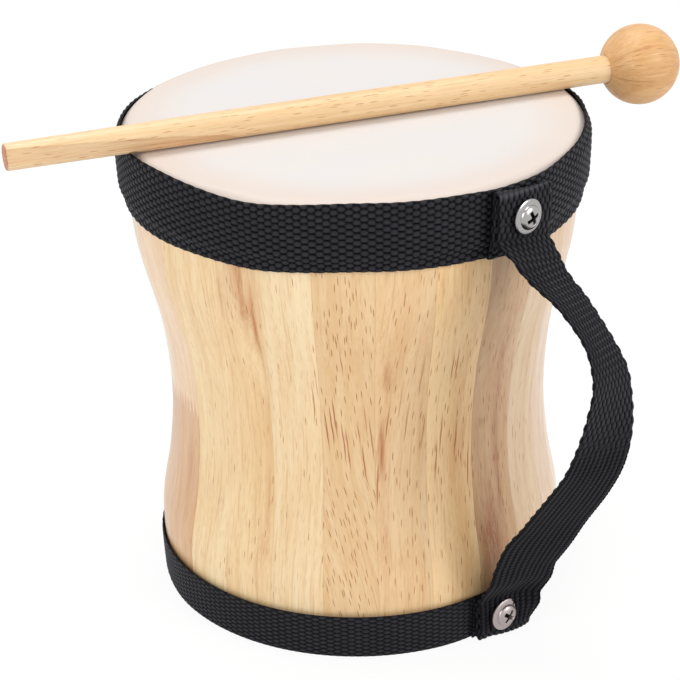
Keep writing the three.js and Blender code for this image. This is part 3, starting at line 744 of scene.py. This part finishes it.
baseBand = {
    "width": 14.8,
    "thickness": 0.7,
    "bottom": 0.1,
    "tabAngle": handle["lowerAngle"],
    "gap": 0.3,
    "selvedge": 0.0,
    "cloth": fineWeave,
    "pastTab": 1.0,
    "drawnIn": ((0, 0), (180, 0)),
    "startDrop": (0.0, 24.0),
    "wander": (
        (-180, -1.0, 0, -0.1), (-165, -0.7, 0, 0.3), (-150, 0, 0, 0.9), (-90, 0, 0, 0.8),
        (-66, 0, 0, 0.8), (-56, 0, 0, 0.1), (0, 0, 0, 0.1), (120, 0, 0, 0)),
}
# How both bands are laid
laying = {
    "underTab": 5.0,
    "ramp": 24.0,
    "skirtStep": (3.2, 0.4),  # mm below the hide's end between which the band climbs on to it
    "drawnOver": 7.0,  # mm of the width that is drawn in
    "hidePress": 0.1,
    "calmBack": (-0.3, 0.1, 0.7),  # sines of the angle between which the selvedge calms, and share
    "wanderMean": (-4, -2, 0, 2, 4),  # degrees that the wander is averaged over
}

rimTop = headTop - rimBand["belowHead"]
rimBottom = rimTop - rimBand["width"]


def rimSeat(height):
    # radius that the rim band lies on: bare wood below the hide's skirt, the hide above it
    overWood = shellRadius(np.minimum(height, roundStart)) + rimBand["gap"]
    first, last = laying["skirtStep"]
    over = smoothStep(skirtBottom - first, skirtBottom - last, height)
    return overWood + over * (head["gap"] + head["thickness"])


def hideFall(height):
    # how far the hide's outside has rounded inwards: r - sqrt(r^2 - h^2), h up from the round's start
    bend = shell["bearingRound"] + head["gap"] + head["thickness"]
    return bend - np.sqrt(bend**2 - np.clip(height - roundStart, 0, bend) ** 2)


def baseSeat(height):
    # radius that the foot band lies on: the bare wood and the glue's gap
    return shellRadius(height) + baseBand["gap"]


def makeBand(name, node, band, seat, bottom):
    # webbing once round the drum, lapping over its own start: a cross-section carried through the
    # angle, lifted by one layer on a smooth ramp where it laps
    cloth, width, thickness = band["cloth"], band["width"], band["thickness"]
    tabRadius = float(seat(bottom + width / 2)) + thickness
    halfTab = handle["width"] / 2 / tabRadius
    tab = math.radians(band["tabAngle"])
    start = tab + halfTab - laying["underTab"] / tabRadius
    end = tab - halfTab - band["pastTab"] / tabRadius - 2 * math.pi
    rampTop = start + thickness / tabRadius - 2 * math.pi
    rampFoot = rampTop + laying["ramp"] / tabRadius
    picks = round((start - end) * tabRadius / cloth["weft"])
    rows = picks * cloth["perWeft"] + 1
    angle = np.linspace(start, end, rows)[:, None]
    along = (start - angle) * tabRadius
    rise = 1 - smoothStep(rampTop, rampFoot, angle)

    yarns = round(width / cloth["warp"])
    outer = np.linspace(-0.5, 0.5, yarns * cloth["perWarp"] + 1)[None, :] * width
    inner = np.linspace(0.5, -0.5, cloth["backColumns"])[None, :] * width
    across = np.concatenate([outer, inner], axis=1)
    faces = np.concatenate([np.ones(outer.shape), np.zeros(inner.shape)], axis=1)
    bump = floatHeight(along * picks * cloth["weft"] / ((start - end) * tabRadius), across, cloth)
    depth = faces * (thickness - cloth["relief"] * (1 - bump)) * tapeEdge(across, width)
    front, back, calm = laying["calmBack"]
    atBack = smoothStep(front, back, np.sin(angle))
    pull = selvedgePull(along, across, width, cloth) * band["selvedge"] * (1 - calm * atBack)
    places, *shifts = np.array(band["wander"]).T
    near = np.degrees(angle) + np.array(laying["wanderMean"])
    upper, lower, off = (
        np.interp(near, places, shift, period=360).mean(axis=1, keepdims=True) for shift in shifts)
    upper = upper - band["startDrop"][0] * (1 - smoothStep(0, band["startDrop"][1], along))
    slow = lower + (upper - lower) * (across / width + 0.5)
    height = bottom + width / 2 + across + pull + slow
    drawn = np.interp(np.degrees(angle), *np.array(band["drawnIn"]).T, period=360)
    drawn = drawn * smoothStep(width / 2 - laying["drawnOver"], width / 2, across)
    drawn = np.minimum(drawn, hideFall(height) + laying["hidePress"])
    radius = seat(height) + off - drawn + rise * (thickness + handle["layerGap"]) + depth
    return buildPiece(name, radialPoint(angle, radius, height), "drum", "webbing", [node], blackWebbing,
                      sharpAngle=60, cloth=fieldOf(along, across, faces), float=bump * faces,
                      crest=np.zeros(bump.shape))


makeBand("rim_webbing", "rim_band", rimBand, rimSeat, rimBottom)
makeBand("foot_webbing", "base_band", baseBand, baseSeat, baseBand["bottom"])
print("bands made")


# Handle: one length of webbing, each end folded under and screwed down over a band

screw = {
    "headRadius": 5.4,
    "rim": 0.45,
    "flange": 0.95,
    "domeRadius": 3.75,
    "dome": 2.5,
    "shankRadius": 2.0,
    "length": 14.0,
    "point": 4.0,
    "recessSpan": 4.5,
    "recessWidth": 0.95,
    "recessDepth": 2.0,
    "seatGap": 0.3,
    "upperBelowTop": 8.6,
    "lowerAboveEnd": 7.9,
    "facets": 144,
    "edgeRound": 0.12,
    "domePower": 2.4,
    "domeFoot": 0.25,
    "tip": 0.05,
    "wallSlope": (0.12, 0.16),  # mm inside and outside the slot's edge
    "endSlope": (0.35, 0.1),
    "floorRise": 0.45,  # share of the recess's depth lost at its ends
    "steps": (7, 44),  # rings over the flange and the dome
    "middle": 0.06,  # radius of the last ring
    "neck": (0.4, 0.3),  # mm that the shank widens over under the head, and by
    "recessShadeOver": (0.25, 0.8),  # shares of the recess's depth that its painted shade darkens over
}
# The strap's right edge stands off the lower tab: how far at the foot and above the screw, from
# where across it, and over which heights
edgeLift = {"foot": 3.0, "footFrom": -6.0, "footFade": (10, 22), "footPull": 1.5, "high": 5.6,
            "fromMiddle": 0.5, "aboveScrew": 5.2, "fade": 17.0}
# How the laid strap creeps sideways, by height, and how its left edge spreads where it peels off
tabCreep = ((-1, -0.6), (8, -0.6), (15, -0.7), (24, -0.4), (45, 0.2), (134, 0.2), (140, 1.3),
            (146, 1.8), (156, 0.5))
leftSpread = {"by": 1.3, "over": (12, 20, 38, 50)}

# Radii of each band's outside, and of the strap's middle in its folded tail and its tab
seatSamples = 40
baseHeights = baseBand["bottom"] + np.array([0, baseBand["width"]])
bandOutside = {
    "upper": float(np.max(rimSeat(np.linspace(rimBottom, rimTop, seatSamples)))) + rimBand["thickness"],
    "lower": float(np.max(baseSeat(np.linspace(*baseHeights, seatSamples)))) + baseBand["thickness"],
}
foldRadius = (handle["thickness"] + handle["layerGap"]) / 2
upperTail, lowerTail = (
    bandOutside[end] + band["thickness"] + 2 * handle["layerGap"] + handle["thickness"] / 2
    for end, band in (("upper", rimBand), ("lower", baseBand)))
upperTab, lowerTab = upperTail + 2 * foldRadius, lowerTail + 2 * foldRadius
upperTabTop, lowerTabEnd = rimTop - handle["belowRim"], baseBand["bottom"]
upperScrewHeight = upperTabTop - screw["upperBelowTop"]
lowerScrewHeight = lowerTabEnd + screw["lowerAboveEnd"]

# Free part, top to bottom: shares of the way down, of the reach, of the twist and of the sway
handleShape = [
    (0.039, 0.178, -0.37, 0.13), (0.08, 0.336, -0.67, 0.31), (0.132, 0.567, -0.94, 0.68),
    (0.197, 0.783, -1, 1), (0.268, 0.936, -0.7, 0.99), (0.345, 0.993, -0.27, 0.64),
    (0.43, 1, 0.16, 0.21), (0.509, 0.949, 0.43, -0.17), (0.591, 0.811, 0.61, -0.29),
    (0.71, 0.565, 0.71, -0.28), (0.789, 0.418, 0.78, -0.31), (0.865, 0.29, 0.6, -0.22),
    (0.927, 0.2, 0.38, -0.1),
]


def handleLine():
    # radius, height, twist, sideways sway, hold (how far the strap is still a tab), lean and edge
    # lift along the strap's middle, end to end
    upperLeave = upperScrewHeight - screw["headRadius"] - handle["upperBeyondScrew"]
    lowerLeave = lowerScrewHeight + screw["headRadius"] + handle["lowerBeyondScrew"]
    shape = np.array(handleShape)
    free = np.column_stack([
        upperTab + (lowerTab - upperTab) * shape[:, 0] + shape[:, 1] * handle["reach"],
        upperLeave + (lowerLeave - upperLeave) * shape[:, 0],
        shape[:, 3] * handle["sway"], shape[:, 2] * handle["twist"],
    ])
    leads = np.array([handle["flatLead"], 1.0, 0.0])
    flat = np.zeros((3, 2))
    free = np.vstack([
        np.column_stack([np.full(3, upperTab), upperLeave + leads, flat]), free,
        np.column_stack([np.full(3, lowerTab), lowerLeave - leads[::-1], flat])])
    free = splineThrough(free, handle["spanSteps"])
    radius, height, sway, twist = free.T
    run = np.concatenate([[0], np.cumsum(np.linalg.norm(np.diff(free[:, :3], axis=0), axis=1))])
    hold = 1 - np.clip((np.minimum(run, run[-1] - run) - handle["flatLead"]) / handle["tabFade"], 0, 1)
    lean = handle["upperLean"] * hold * (run < run[-1] / 2)
    crest = lowerScrewHeight + edgeLift["aboveScrew"]
    lift = edgeLift["high"] * riseAndFall(height, lowerTabEnd, crest, crest, crest + edgeLift["fade"])
    free = np.column_stack([radius, height, twist, sway, hold, lean, lift])
    turn = np.linspace(0, np.pi, handle["foldSteps"])
    half = handle["thickness"] / 2

    def flatPart(radii, heights, leaning):
        still = np.zeros(len(radii))
        return np.column_stack([radii, heights, still, still, still + 1, still + leaning, still])

    upperFold = flatPart(upperTail + foldRadius * (1 - np.cos(turn)),
                         upperTabTop - foldRadius - half + foldRadius * np.sin(turn), handle["upperLean"])
    lowerFold = flatPart(lowerTail + foldRadius * (1 + np.cos(turn)),
                         lowerTabEnd + foldRadius + half - foldRadius * np.sin(turn), 0)
    line = np.vstack([
        flatPart([upperTail], [upperTabTop - handle["upperTail"]], handle["upperLean"]), upperFold, free,
        lowerFold, flatPart([lowerTail], [lowerTabEnd + handle["lowerTail"]], 0)])
    line[:, 3] += np.interp(line[:, 1], *np.array(tabCreep).T)
    return line, np.concatenate([[0], np.cumsum(np.linalg.norm(np.diff(line[:, :2], axis=0), axis=1))])


def makeHandle():
    # the webbing's section carried along that line, turned by the twist about it, bent to the
    # drum's curve where it lies on a band, and the upper tab leaned about its screw
    line, run = handleLine()
    picks = round(run[-1] / weave["weft"])
    along = np.linspace(0, run[-1], picks * weave["perWeft"] + 1)
    radius, height, twist, sway, hold, lean, lifted = (np.interp(along, run, column) for column in line.T)
    # the strap eases off the lower tab: its radius averaged over the stiff tape's shortest bend
    bell = np.hanning(2 * handle["easedRows"] + 1)
    eased = np.convolve(np.pad(radius, handle["easedRows"], mode="edge"), bell / bell.sum(), mode="valid")
    bent = riseAndFall(height, *handle["easedOver"]) * (radius > lowerTab - handle["tailClear"])
    radius = radius + (eased - radius) * bent
    angle = np.radians(np.interp(
        height, [lowerTabEnd, upperTabTop], [handle["lowerAngle"], handle["upperAngle"]]))
    outward = radialPoint(angle, 1.0, 0.0)
    axis = np.array([0.0, 0.0, 1.0])
    level = np.cross(axis, outward)
    middle = outward * radius[:, None] + axis * height[:, None] + level * sway[:, None]
    forward = np.gradient(middle, axis=0)
    forward /= np.linalg.norm(forward, axis=1)[:, None]
    level = level - forward * np.sum(level * forward, axis=1)[:, None]
    level /= np.linalg.norm(level, axis=1)[:, None]
    turn = np.radians(twist)[:, None]
    sideways = level * np.cos(turn) + np.cross(forward, level) * np.sin(turn)
    facing = np.cross(sideways, forward)

    yarns = round(handle["width"] / weave["warp"])
    face = np.linspace(-0.5, 0.5, yarns * weave["perWarp"] + 1) * handle["width"]
    across = np.concatenate([face, face[::-1]])[None, :]
    side = np.concatenate([-np.ones(len(face)), np.ones(len(face))])[None, :]
    halfWidth, relief = handle["width"] / 2, handle["relief"]
    clothAlong = along[:, None] * picks * weave["weft"] / run[-1]
    bump = floatHeight(clothAlong + (side < 0) * weave["weft"], across, weave)
    # pulled round the outside of the bend the yarns open and the picks' crests get a painted highlight;
    # lower down the yarns close up into cords, two to a cord
    tall = height[:, None]
    opened = riseAndFall(tall, *handle["openedOver"]) * (side < 0)
    corded = riseAndFall(tall, *handle["cordedOver"]) * (side < 0)
    pick, yarn = clothAlong / weave["weft"], across / weave["warp"] + 0.5
    crest = np.exp(-(((pick - np.round(pick)) / handle["crest"][0]) ** 2)) * opened
    crest = crest * smoothStep(*handle["openedFrom"], across)
    slitDepth, slitWidth = handle["slit"]
    slit = slitDepth * opened * np.exp(-(((yarn - np.round(yarn)) / slitWidth) ** 2))
    beside = across / handle["cord"][0]
    beside = beside - np.round(beside)
    notchDepth, notchLean = handle["notch"]
    notch = np.cos(2 * np.pi * (clothAlong / handle["cord"][1] + notchLean * beside))
    lost, lostFrom, lostTo = handle["cordFade"]
    cords = (1 - (2 * beside) ** 2) * (1 - notchDepth + notchDepth * notch)
    cords = cords * (1 - lost + lost * smoothStep(lostFrom, lostTo, tall))
    bump = bump * (1 - slit * (1 - crest))
    bump = bump + (cords - bump) * corded
    # a painted highlight along the upper fold
    foldLength, foldShine = handle["foldHighlight"]
    foldHighlights = foldShine * np.exp(-(((along[:, None] - handle["foldAt"]) / foldLength) ** 2))
    relief = relief * (1 + handle["cordRelief"] * corded)
    depth = side * (handle["thickness"] / 2 - relief * (1 - bump)) * tapeEdge(across, handle["width"])

    # sideways: wider where it is free, the selvedge's bulges, and the left edge spread
    offset = across * (1 + handle["spread"] / handle["width"] * (1 - hold[:, None]))
    pull, tight = (
        selvedgePull(clothAlong * times, across, handle["width"], weave) for times in (1, 2))
    pull = pull + (handle["tightPull"] * tight - pull) * (1 - smoothStep(*handle["cordedOver"][2:], tall))
    onTab, pullFrom, pullTo = handle["pull"]
    offset = offset + pull * (onTab + (1 - onTab) * smoothStep(pullFrom, pullTo, tall))
    peel = leftSpread["by"] * riseAndFall(tall, *leftSpread["over"])
    offset = offset - peel * np.clip(-across / halfWidth, 0, 1)
    # outwards: bent to the drum's curve while it is held, and its right edge lifted
    fromMiddle, footFrom = edgeLift["fromMiddle"], edgeLift["footFrom"]
    pastMiddle = np.clip((offset - fromMiddle) / (halfWidth - fromMiddle), 0, None)
    away = lifted[:, None] * pastMiddle**2 - hold[:, None] * offset**2 / (2 * radius[:, None])
    low = 1 - smoothStep(*edgeLift["footFade"], tall)
    share = np.clip((offset - footFrom) / (halfWidth - footFrom), 0, 1)
    away = away + edgeLift["foot"] * low * (1 - (1 - share) ** 2)
    offset = offset - edgeLift["footPull"] * low * share**2
    points = (middle[:, None] + sideways[:, None] * offset[..., None]
              + facing[:, None] * depth[..., None] + outward[:, None] * away[..., None])
    pivot = (outward * radius[:, None] + axis * upperScrewHeight)[:, None]
    arm, turned = points - pivot, np.radians(lean)[:, None, None]
    out = outward[:, None] * np.sum(arm * outward[:, None], axis=-1, keepdims=True)
    crossed = np.cross(outward[:, None], arm)
    sections = pivot + out + (arm - out) * np.cos(turned) + crossed * np.sin(turned)
    # the crest attribute carries the painted highlight of the opened picks and the upper fold
    return buildPiece("handle_webbing", sections, "drum", "webbing", ["handle_strap"], blackWebbing,
                      sharpAngle=60, cloth=fieldOf(along[:, None], across, side), float=bump,
                      crest=np.maximum(handle["crest"][1] * crest, foldHighlights * (side < 0)))


makeHandle()
print("handle made")


# Screws: truss-headed steel wood screws with a cross recess, nickel plated

nickelHaze = 700.0  # per metre: marks of 1.4 mm, coarser than the real ones so that they show
# colour of the painted shade down in the screws' cross recess
recessShadeColour = "#141312"


def makeNickel(name, plated, smoothest, roughest):
    # nickel plate over a pressed steel head: warm grey, faintly uneven from tumbling, with painted
    # shade darkening it down in the recess
    material, add = newMaterial(name)
    place = add("TexCoord").outputs["Object"]
    haze = add("TexNoise", {"Vector": place, "Scale": nickelHaze, "Detail": 3.0})
    rough = add("MapRange", [haze, noiseLow, noiseHigh, smoothest, roughest])
    # painted shade in the recess, strongest where it is deepest
    recessShade = add("Attribute", attribute_name="recess").outputs["Fac"]
    colour = add("Mix", [recessShade, plated, recessShadeColour], **blended)
    bump = add("Bump", {"Height": haze, "Strength": 0.12, "Distance": 0.0001})
    shader = add("BsdfPrincipled", {
        "Base Color": colour, "Metallic": 1.0, "Roughness": rough, "Normal": bump})
    add("OutputMaterial", [shader])
    return material


brightNickel = makeNickel("steel_nickel_plated", "#a9a7a6", 0.2, 0.34)
dullNickel = makeNickel("steel_nickel_worn", "#ada2a0", 0.36, 0.5)


def makeScrew(name, node, angleDegrees, seat, height, crossTurn, facingTurn, plate):
    # a turned profile about the screw's line; inside the dome the surface drops by the recess:
    # two crossed slots whose walls slope and whose floor deepens towards the middle
    facets, headRadius, domeRadius = screw["facets"], screw["headRadius"], screw["domeRadius"]
    around = np.linspace(0, 2 * np.pi, facets, endpoint=False)[None, :]
    flangeSteps, domeSteps = screw["steps"]
    rings = np.concatenate([np.linspace(headRadius, domeRadius + screw["domeFoot"], flangeSteps),
                            np.linspace(domeRadius, screw["middle"], domeSteps)])[:, None]
    inDome = np.clip(rings / domeRadius, 0, 1)
    inFlange = np.clip((headRadius - rings) / (headRadius - domeRadius), 0, 1)
    flange = screw["rim"] + (screw["flange"] - screw["rim"]) * np.sqrt(inFlange)
    dome = (screw["dome"] - screw["flange"]) * np.sqrt(np.clip(1 - inDome ** screw["domePower"], 0, 1))
    depth = np.zeros((len(rings), facets))
    half, span = screw["recessWidth"] / 2, screw["recessSpan"] / 2
    wallIn, wallOut = screw["wallSlope"]
    endIn, endOut = screw["endSlope"]
    for slotTurn in (0.0, np.pi / 2):
        turned = around - math.radians(crossTurn) - slotTurn
        alongSlot, besideSlot = np.abs(rings * np.cos(turned)), np.abs(rings * np.sin(turned))
        wall = 1 - smoothStep(half - wallIn, half + wallOut, besideSlot)
        end = 1 - smoothStep(span - endIn, span + endOut, alongSlot)
        depth = np.maximum(depth, wall * end * (1 - screw["floorRise"] * alongSlot / span))
    top = flange + dome - screw["recessDepth"] * depth
    # under the head: height and radius at the point, along the shank, the neck and the head's edge
    shank, edgeRound = screw["shankRadius"], screw["edgeRound"]
    neckLength, neckWidening = screw["neck"]
    under = np.array([
        (-screw["length"], screw["tip"]), (screw["point"] - screw["length"], shank),
        (-neckLength, shank), (0.0, shank + neckWidening), (0.0, headRadius - edgeRound),
        (edgeRound, headRadius)])
    radii = np.vstack([under[:, 1:], rings])
    heights = np.vstack([np.broadcast_to(under[:, :1], (len(under), facets)), top])
    place, facing = math.radians(angleDegrees), math.radians(angleDegrees + facingTurn)
    foot = np.array([math.cos(place) * seat, math.sin(place) * seat, height])
    axes = np.array([
        [math.cos(facing), math.sin(facing), 0.0], [-math.sin(facing), math.cos(facing), 0.0],
        [0.0, 0.0, 1.0]])
    sections = foot + fieldOf(heights, radii * np.cos(around), radii * np.sin(around)) @ axes
    # painted shade: the colour darkens with the recess's depth
    recess = np.vstack([np.zeros((len(under), facets)), smoothStep(*screw["recessShadeOver"], depth)])
    return buildPiece(name, sections, "drum", "screw_steel", [node], plate, sharpAngle=28, recess=recess)


# Each screw: its end of the strap, the tab's radius, height, strap's angle there, mm aside and
# proud, turn of its cross and lean of its line in degrees, and its plate
screws = [
    ("upper", upperTab, upperScrewHeight, handle["upperAngle"], 1.3, 0.0, 20, 3.5, brightNickel),
    ("lower", lowerTab, lowerScrewHeight, handle["lowerAngle"], -2.1, 0.8, 52, 0.0, dullNickel),
]
for end, tab, height, angle, aside, proud, crossTurn, facingTurn, plate in screws:
    seat = tab + handle["thickness"] / 2 + screw["seatGap"] + proud
    makeScrew(f"{end}_truss_screw", f"{end}_screw", angle + math.degrees(aside / seat), seat, height,
              crossTurn, facingTurn, plate)
print("screws made")


# Beater: a turned dowel, planed flat on one side towards its tip, in a drilled ball

beater = {
    "radius": 4.4,
    "tipRadius": 4.1,
    "taper": 60.0,
    "chamfer": 0.35,
    "tipToBall": 206.9,
    "ballRadius": 12.9,
    "boreDepth": 18.0,
    "boreClearance": 0.15,
    "angle": 20.0,
    "beside": 5.0,
    "ballReach": 96.7,
    "restGap": 0.3,
    "boreFloorGap": 0.3,
    "mouthChamfer": 0.3,
    "facets": 96,
    "steps": (60, 70),  # rings along the planed part and the rest
    "spacing": 2.0,  # mm between the rings past the flat's end
    "ballSteps": 60,
    "pole": 0.03,  # radians
    "floorMiddle": 0.05,
    "unevenness": (0.004, 17.0),  # share of the radius, and mm along per radian
    "endGrain": 1.1,  # stain of the sawn end
    "planedStain": 0.3,
    "stain": 0.04,
    "pores": 0.35,
    "longPores": 0.05,
    "tone": "#f4d7ac",
    "patternFrom": 400.0,  # mm along the pattern at the tip
    "ballTone": "#eabf88",
    "ballStain": 0.16,
    "ballPores": 0.45,
    "ballPattern": (90.0, 30.0),  # mm into and along the pattern
}
# Planed flat: mm from the tip, upper edge and half-width in degrees round the dowel
planedFlat = np.array([(0, 54, 38), (24, 31, 34), (36, 20, 30), (51, 4, 24), (67, -21, 15), (72, -62, 3)])

beaterLook = dict(
    woodLook, clouds=(9.0, 9.0, 120.0), rings=(60.0, 1.6, 200.0), streaks=(1.4, 1.4, 50.0),
    dashes=(0.75, 9.0), poreDepth=0.7, glueDepth=0.0, roughness=(0.46, 0.56), coat=0.1,
    bump=0.25)
beaterWood = makeWood("rubberwood_dowel_sanded", beaterLook)


def beaterPoint(along, beside, up):
    # a point along the beater from the ball's middle, beside it and above its line
    turn = math.radians(beater["angle"])
    axes = np.array([[math.cos(turn), math.sin(turn), 0.0], [math.sin(turn), -math.cos(turn), 0.0],
                     [0.0, 0.0, 1.0]])
    middle = [beater["ballReach"], beater["beside"], headTop + beater["restGap"] + beater["radius"]]
    return (fieldOf(along, beside, up) + np.array(middle)) @ axes


def makeDowel():
    # circles along the dowel, cut back to a chord where it was planed
    length = beater["tipToBall"] - beater["ballRadius"] + beater["boreDepth"] - beater["boreFloorGap"]
    flatEnd = planedFlat[-1, 0]
    tipSteps, restSteps = beater["steps"]
    along = np.concatenate([
        [0], np.linspace(beater["chamfer"], flatEnd + beater["spacing"], tipSteps),
        np.linspace(flatEnd + 2 * beater["spacing"], length, restSteps)])[:, None]
    radius = np.interp(along, [0, beater["taper"]], [beater["tipRadius"], beater["radius"]])
    sawn = along == 0
    radius = radius - beater["chamfer"] * sawn
    around = np.linspace(-180, 180, beater["facets"], endpoint=False)[None, :]
    edge, half = (np.interp(along, planedFlat[:, 0], planedFlat[:, i], right=0) for i in (1, 2))
    off = np.abs((around - (edge - half) + 180) % 360 - 180)
    onFlat = (off < half) & (along < flatEnd)
    chord = np.cos(np.radians(half)) / np.cos(np.radians(np.minimum(off, half)))
    turn = np.radians(around)
    share, perRadian = beater["unevenness"]
    planed = radius * np.where(onFlat, chord, 1.0) * (1 + share * np.sin(along / perRadian) * np.cos(turn))
    beside, up = planed * np.cos(turn), planed * np.sin(turn)
    sections = beaterPoint(along - beater["tipToBall"], beside, up)
    # the sawn end and the planed flat show darker
    stain = beater["stain"] + beater["endGrain"] * sawn + beater["planedStain"] * onFlat
    grainAlong = along + beater["patternFrom"]
    marks = woodMarks(
        grain=(beside, up, grainAlong), figure=(stain, beater["pores"], 0.0),
        vessel=(turn * beater["radius"], grainAlong, beater["longPores"]), tone=beater["tone"])
    return buildPiece("beater_dowel", sections, "beater", "beater_wood", ["beater_stick"],
                      beaterWood, sharpAngle=20, **marks)


def makeBall():
    # half circle turned about the beater's line, from the bottom of the bore out and round
    bore = beater["radius"] + beater["boreClearance"]
    mouth = math.asin(bore / beater["ballRadius"])
    turn = np.linspace(mouth, np.pi - beater["pole"], beater["ballSteps"])
    floor = -beater["ballRadius"] + beater["boreDepth"]
    profile = np.vstack([
        [[floor, beater["floorMiddle"]], [floor, bore]],
        [[-beater["ballRadius"] * math.cos(mouth) + beater["mouthChamfer"], bore]],
        np.column_stack([-beater["ballRadius"] * np.cos(turn), beater["ballRadius"] * np.sin(turn)]),
    ])
    around = np.linspace(0, 2 * np.pi, beater["facets"], endpoint=False)[None, :]
    along, radius = profile[:, :1], profile[:, 1:]
    beside, up = radius * np.cos(around), radius * np.sin(around)
    sections = beaterPoint(along, beside, up)
    # its grain is turned from the dowel's by the angle of a 3-4-5 triangle
    into, further = beater["ballPattern"]
    marks = woodMarks(
        grain=(beside * 0.8 + up * 0.6, up * 0.8 - beside * 0.6 + into, along + further),
        figure=(beater["ballStain"], beater["ballPores"], 0.0),
        vessel=(around * beater["ballRadius"], along + further, beater["longPores"]),
        tone=beater["ballTone"])
    return buildPiece("beater_knob", sections, "beater", "beater_wood", ["beater_ball"],
                      beaterWood, sharpAngle=30, **marks)


makeDowel()
makeBall()
print("beater made")


# Studio: pale floor, white all round, a soft lamp overhead and one on each side in front

studio = {
    "floorSize": 12.0,  # metres, as is its drop below the drum's foot
    "worldLight": 0.45,
    "floorGlow": 0.9,
    "floorShade": 0.12,
    "floorDrop": 0.0002,
    "paper": "#f2f2f2",
}
lamps = [
    # place and aim in metres about the drum, size in metres, power in watts
    ("overhead_softbox", (-0.15, 0.25, 1.35), (0.0, 0.0, 0.08), 0.8, 8.0),
    ("left_softbox", (-1.0, -1.1, 0.9), (0.0, 0.0, 0.08), 0.9, 8.0),
    ("right_softbox", (1.2, -0.7, 0.8), (0.0, 0.0, 0.08), 0.9, 9.5),
]


def seenRays(add):
    # 1 for camera, glossy and transmission rays
    rays = add("LightPath").outputs
    either = add("Math", [rays["Is Camera Ray"], rays["Is Glossy Ray"]], operation="MAXIMUM")
    return add("Math", [either, rays["Is Transmission Ray"]], operation="MAXIMUM")


def makeStudio():
    # world and floor are white where they are seen, and light the drum less than that
    world = bpy.data.worlds.new("white_studio")
    world.use_nodes = True
    world.node_tree.nodes.clear()
    add = partial(addNode, world.node_tree)
    strength = add("MapRange", {"Value": seenRays(add), "To Min": studio["worldLight"], "To Max": 1.0})
    white = (1, 1, 1, 1)
    background = add("Background", {"Color": white, "Strength": strength})
    add("OutputWorld", [background])
    bpy.context.scene.world = world

    material, add = newMaterial("seamless_white_paper")
    lit = add("BsdfDiffuse", {"Color": studio["paper"]})
    shade = add("BsdfDiffuse", {"Color": (studio["floorShade"],) * 3 + (1,)})
    glow = add("Emission", {"Color": white, "Strength": studio["floorGlow"]})
    add("OutputMaterial", [add("MixShader", [seenRays(add), lit, add("AddShader", [shade, glow])])])
    half, level = studio["floorSize"] / 2, -studio["floorDrop"]
    mesh = bpy.data.meshes.new("studio_floor")
    corners = [(-half, -half, level), (half, -half, level), (half, half, level), (-half, half, level)]
    mesh.from_pydata(corners, [], [(0, 1, 2, 3)])
    mesh.materials.append(material)
    floor = bpy.data.objects.new("studio_floor", mesh)
    bpy.context.scene.collection.objects.link(floor)

    for name, place, aim, size, power in lamps:
        data = bpy.data.lights.new(name, "AREA")
        data.shape, data.size, data.energy = "DISK", size, power
        lamp = bpy.data.objects.new(name, data)
        bpy.context.scene.collection.objects.link(lamp)
        back = Vector(place) - Vector(aim)
        lamp.matrix_world = Matrix.Translation(place) @ back.to_track_quat("Z", "Y").to_matrix().to_4x4()
    bpy.context.scene.view_settings.view_transform = "Standard"


makeStudio()
print("studio made")
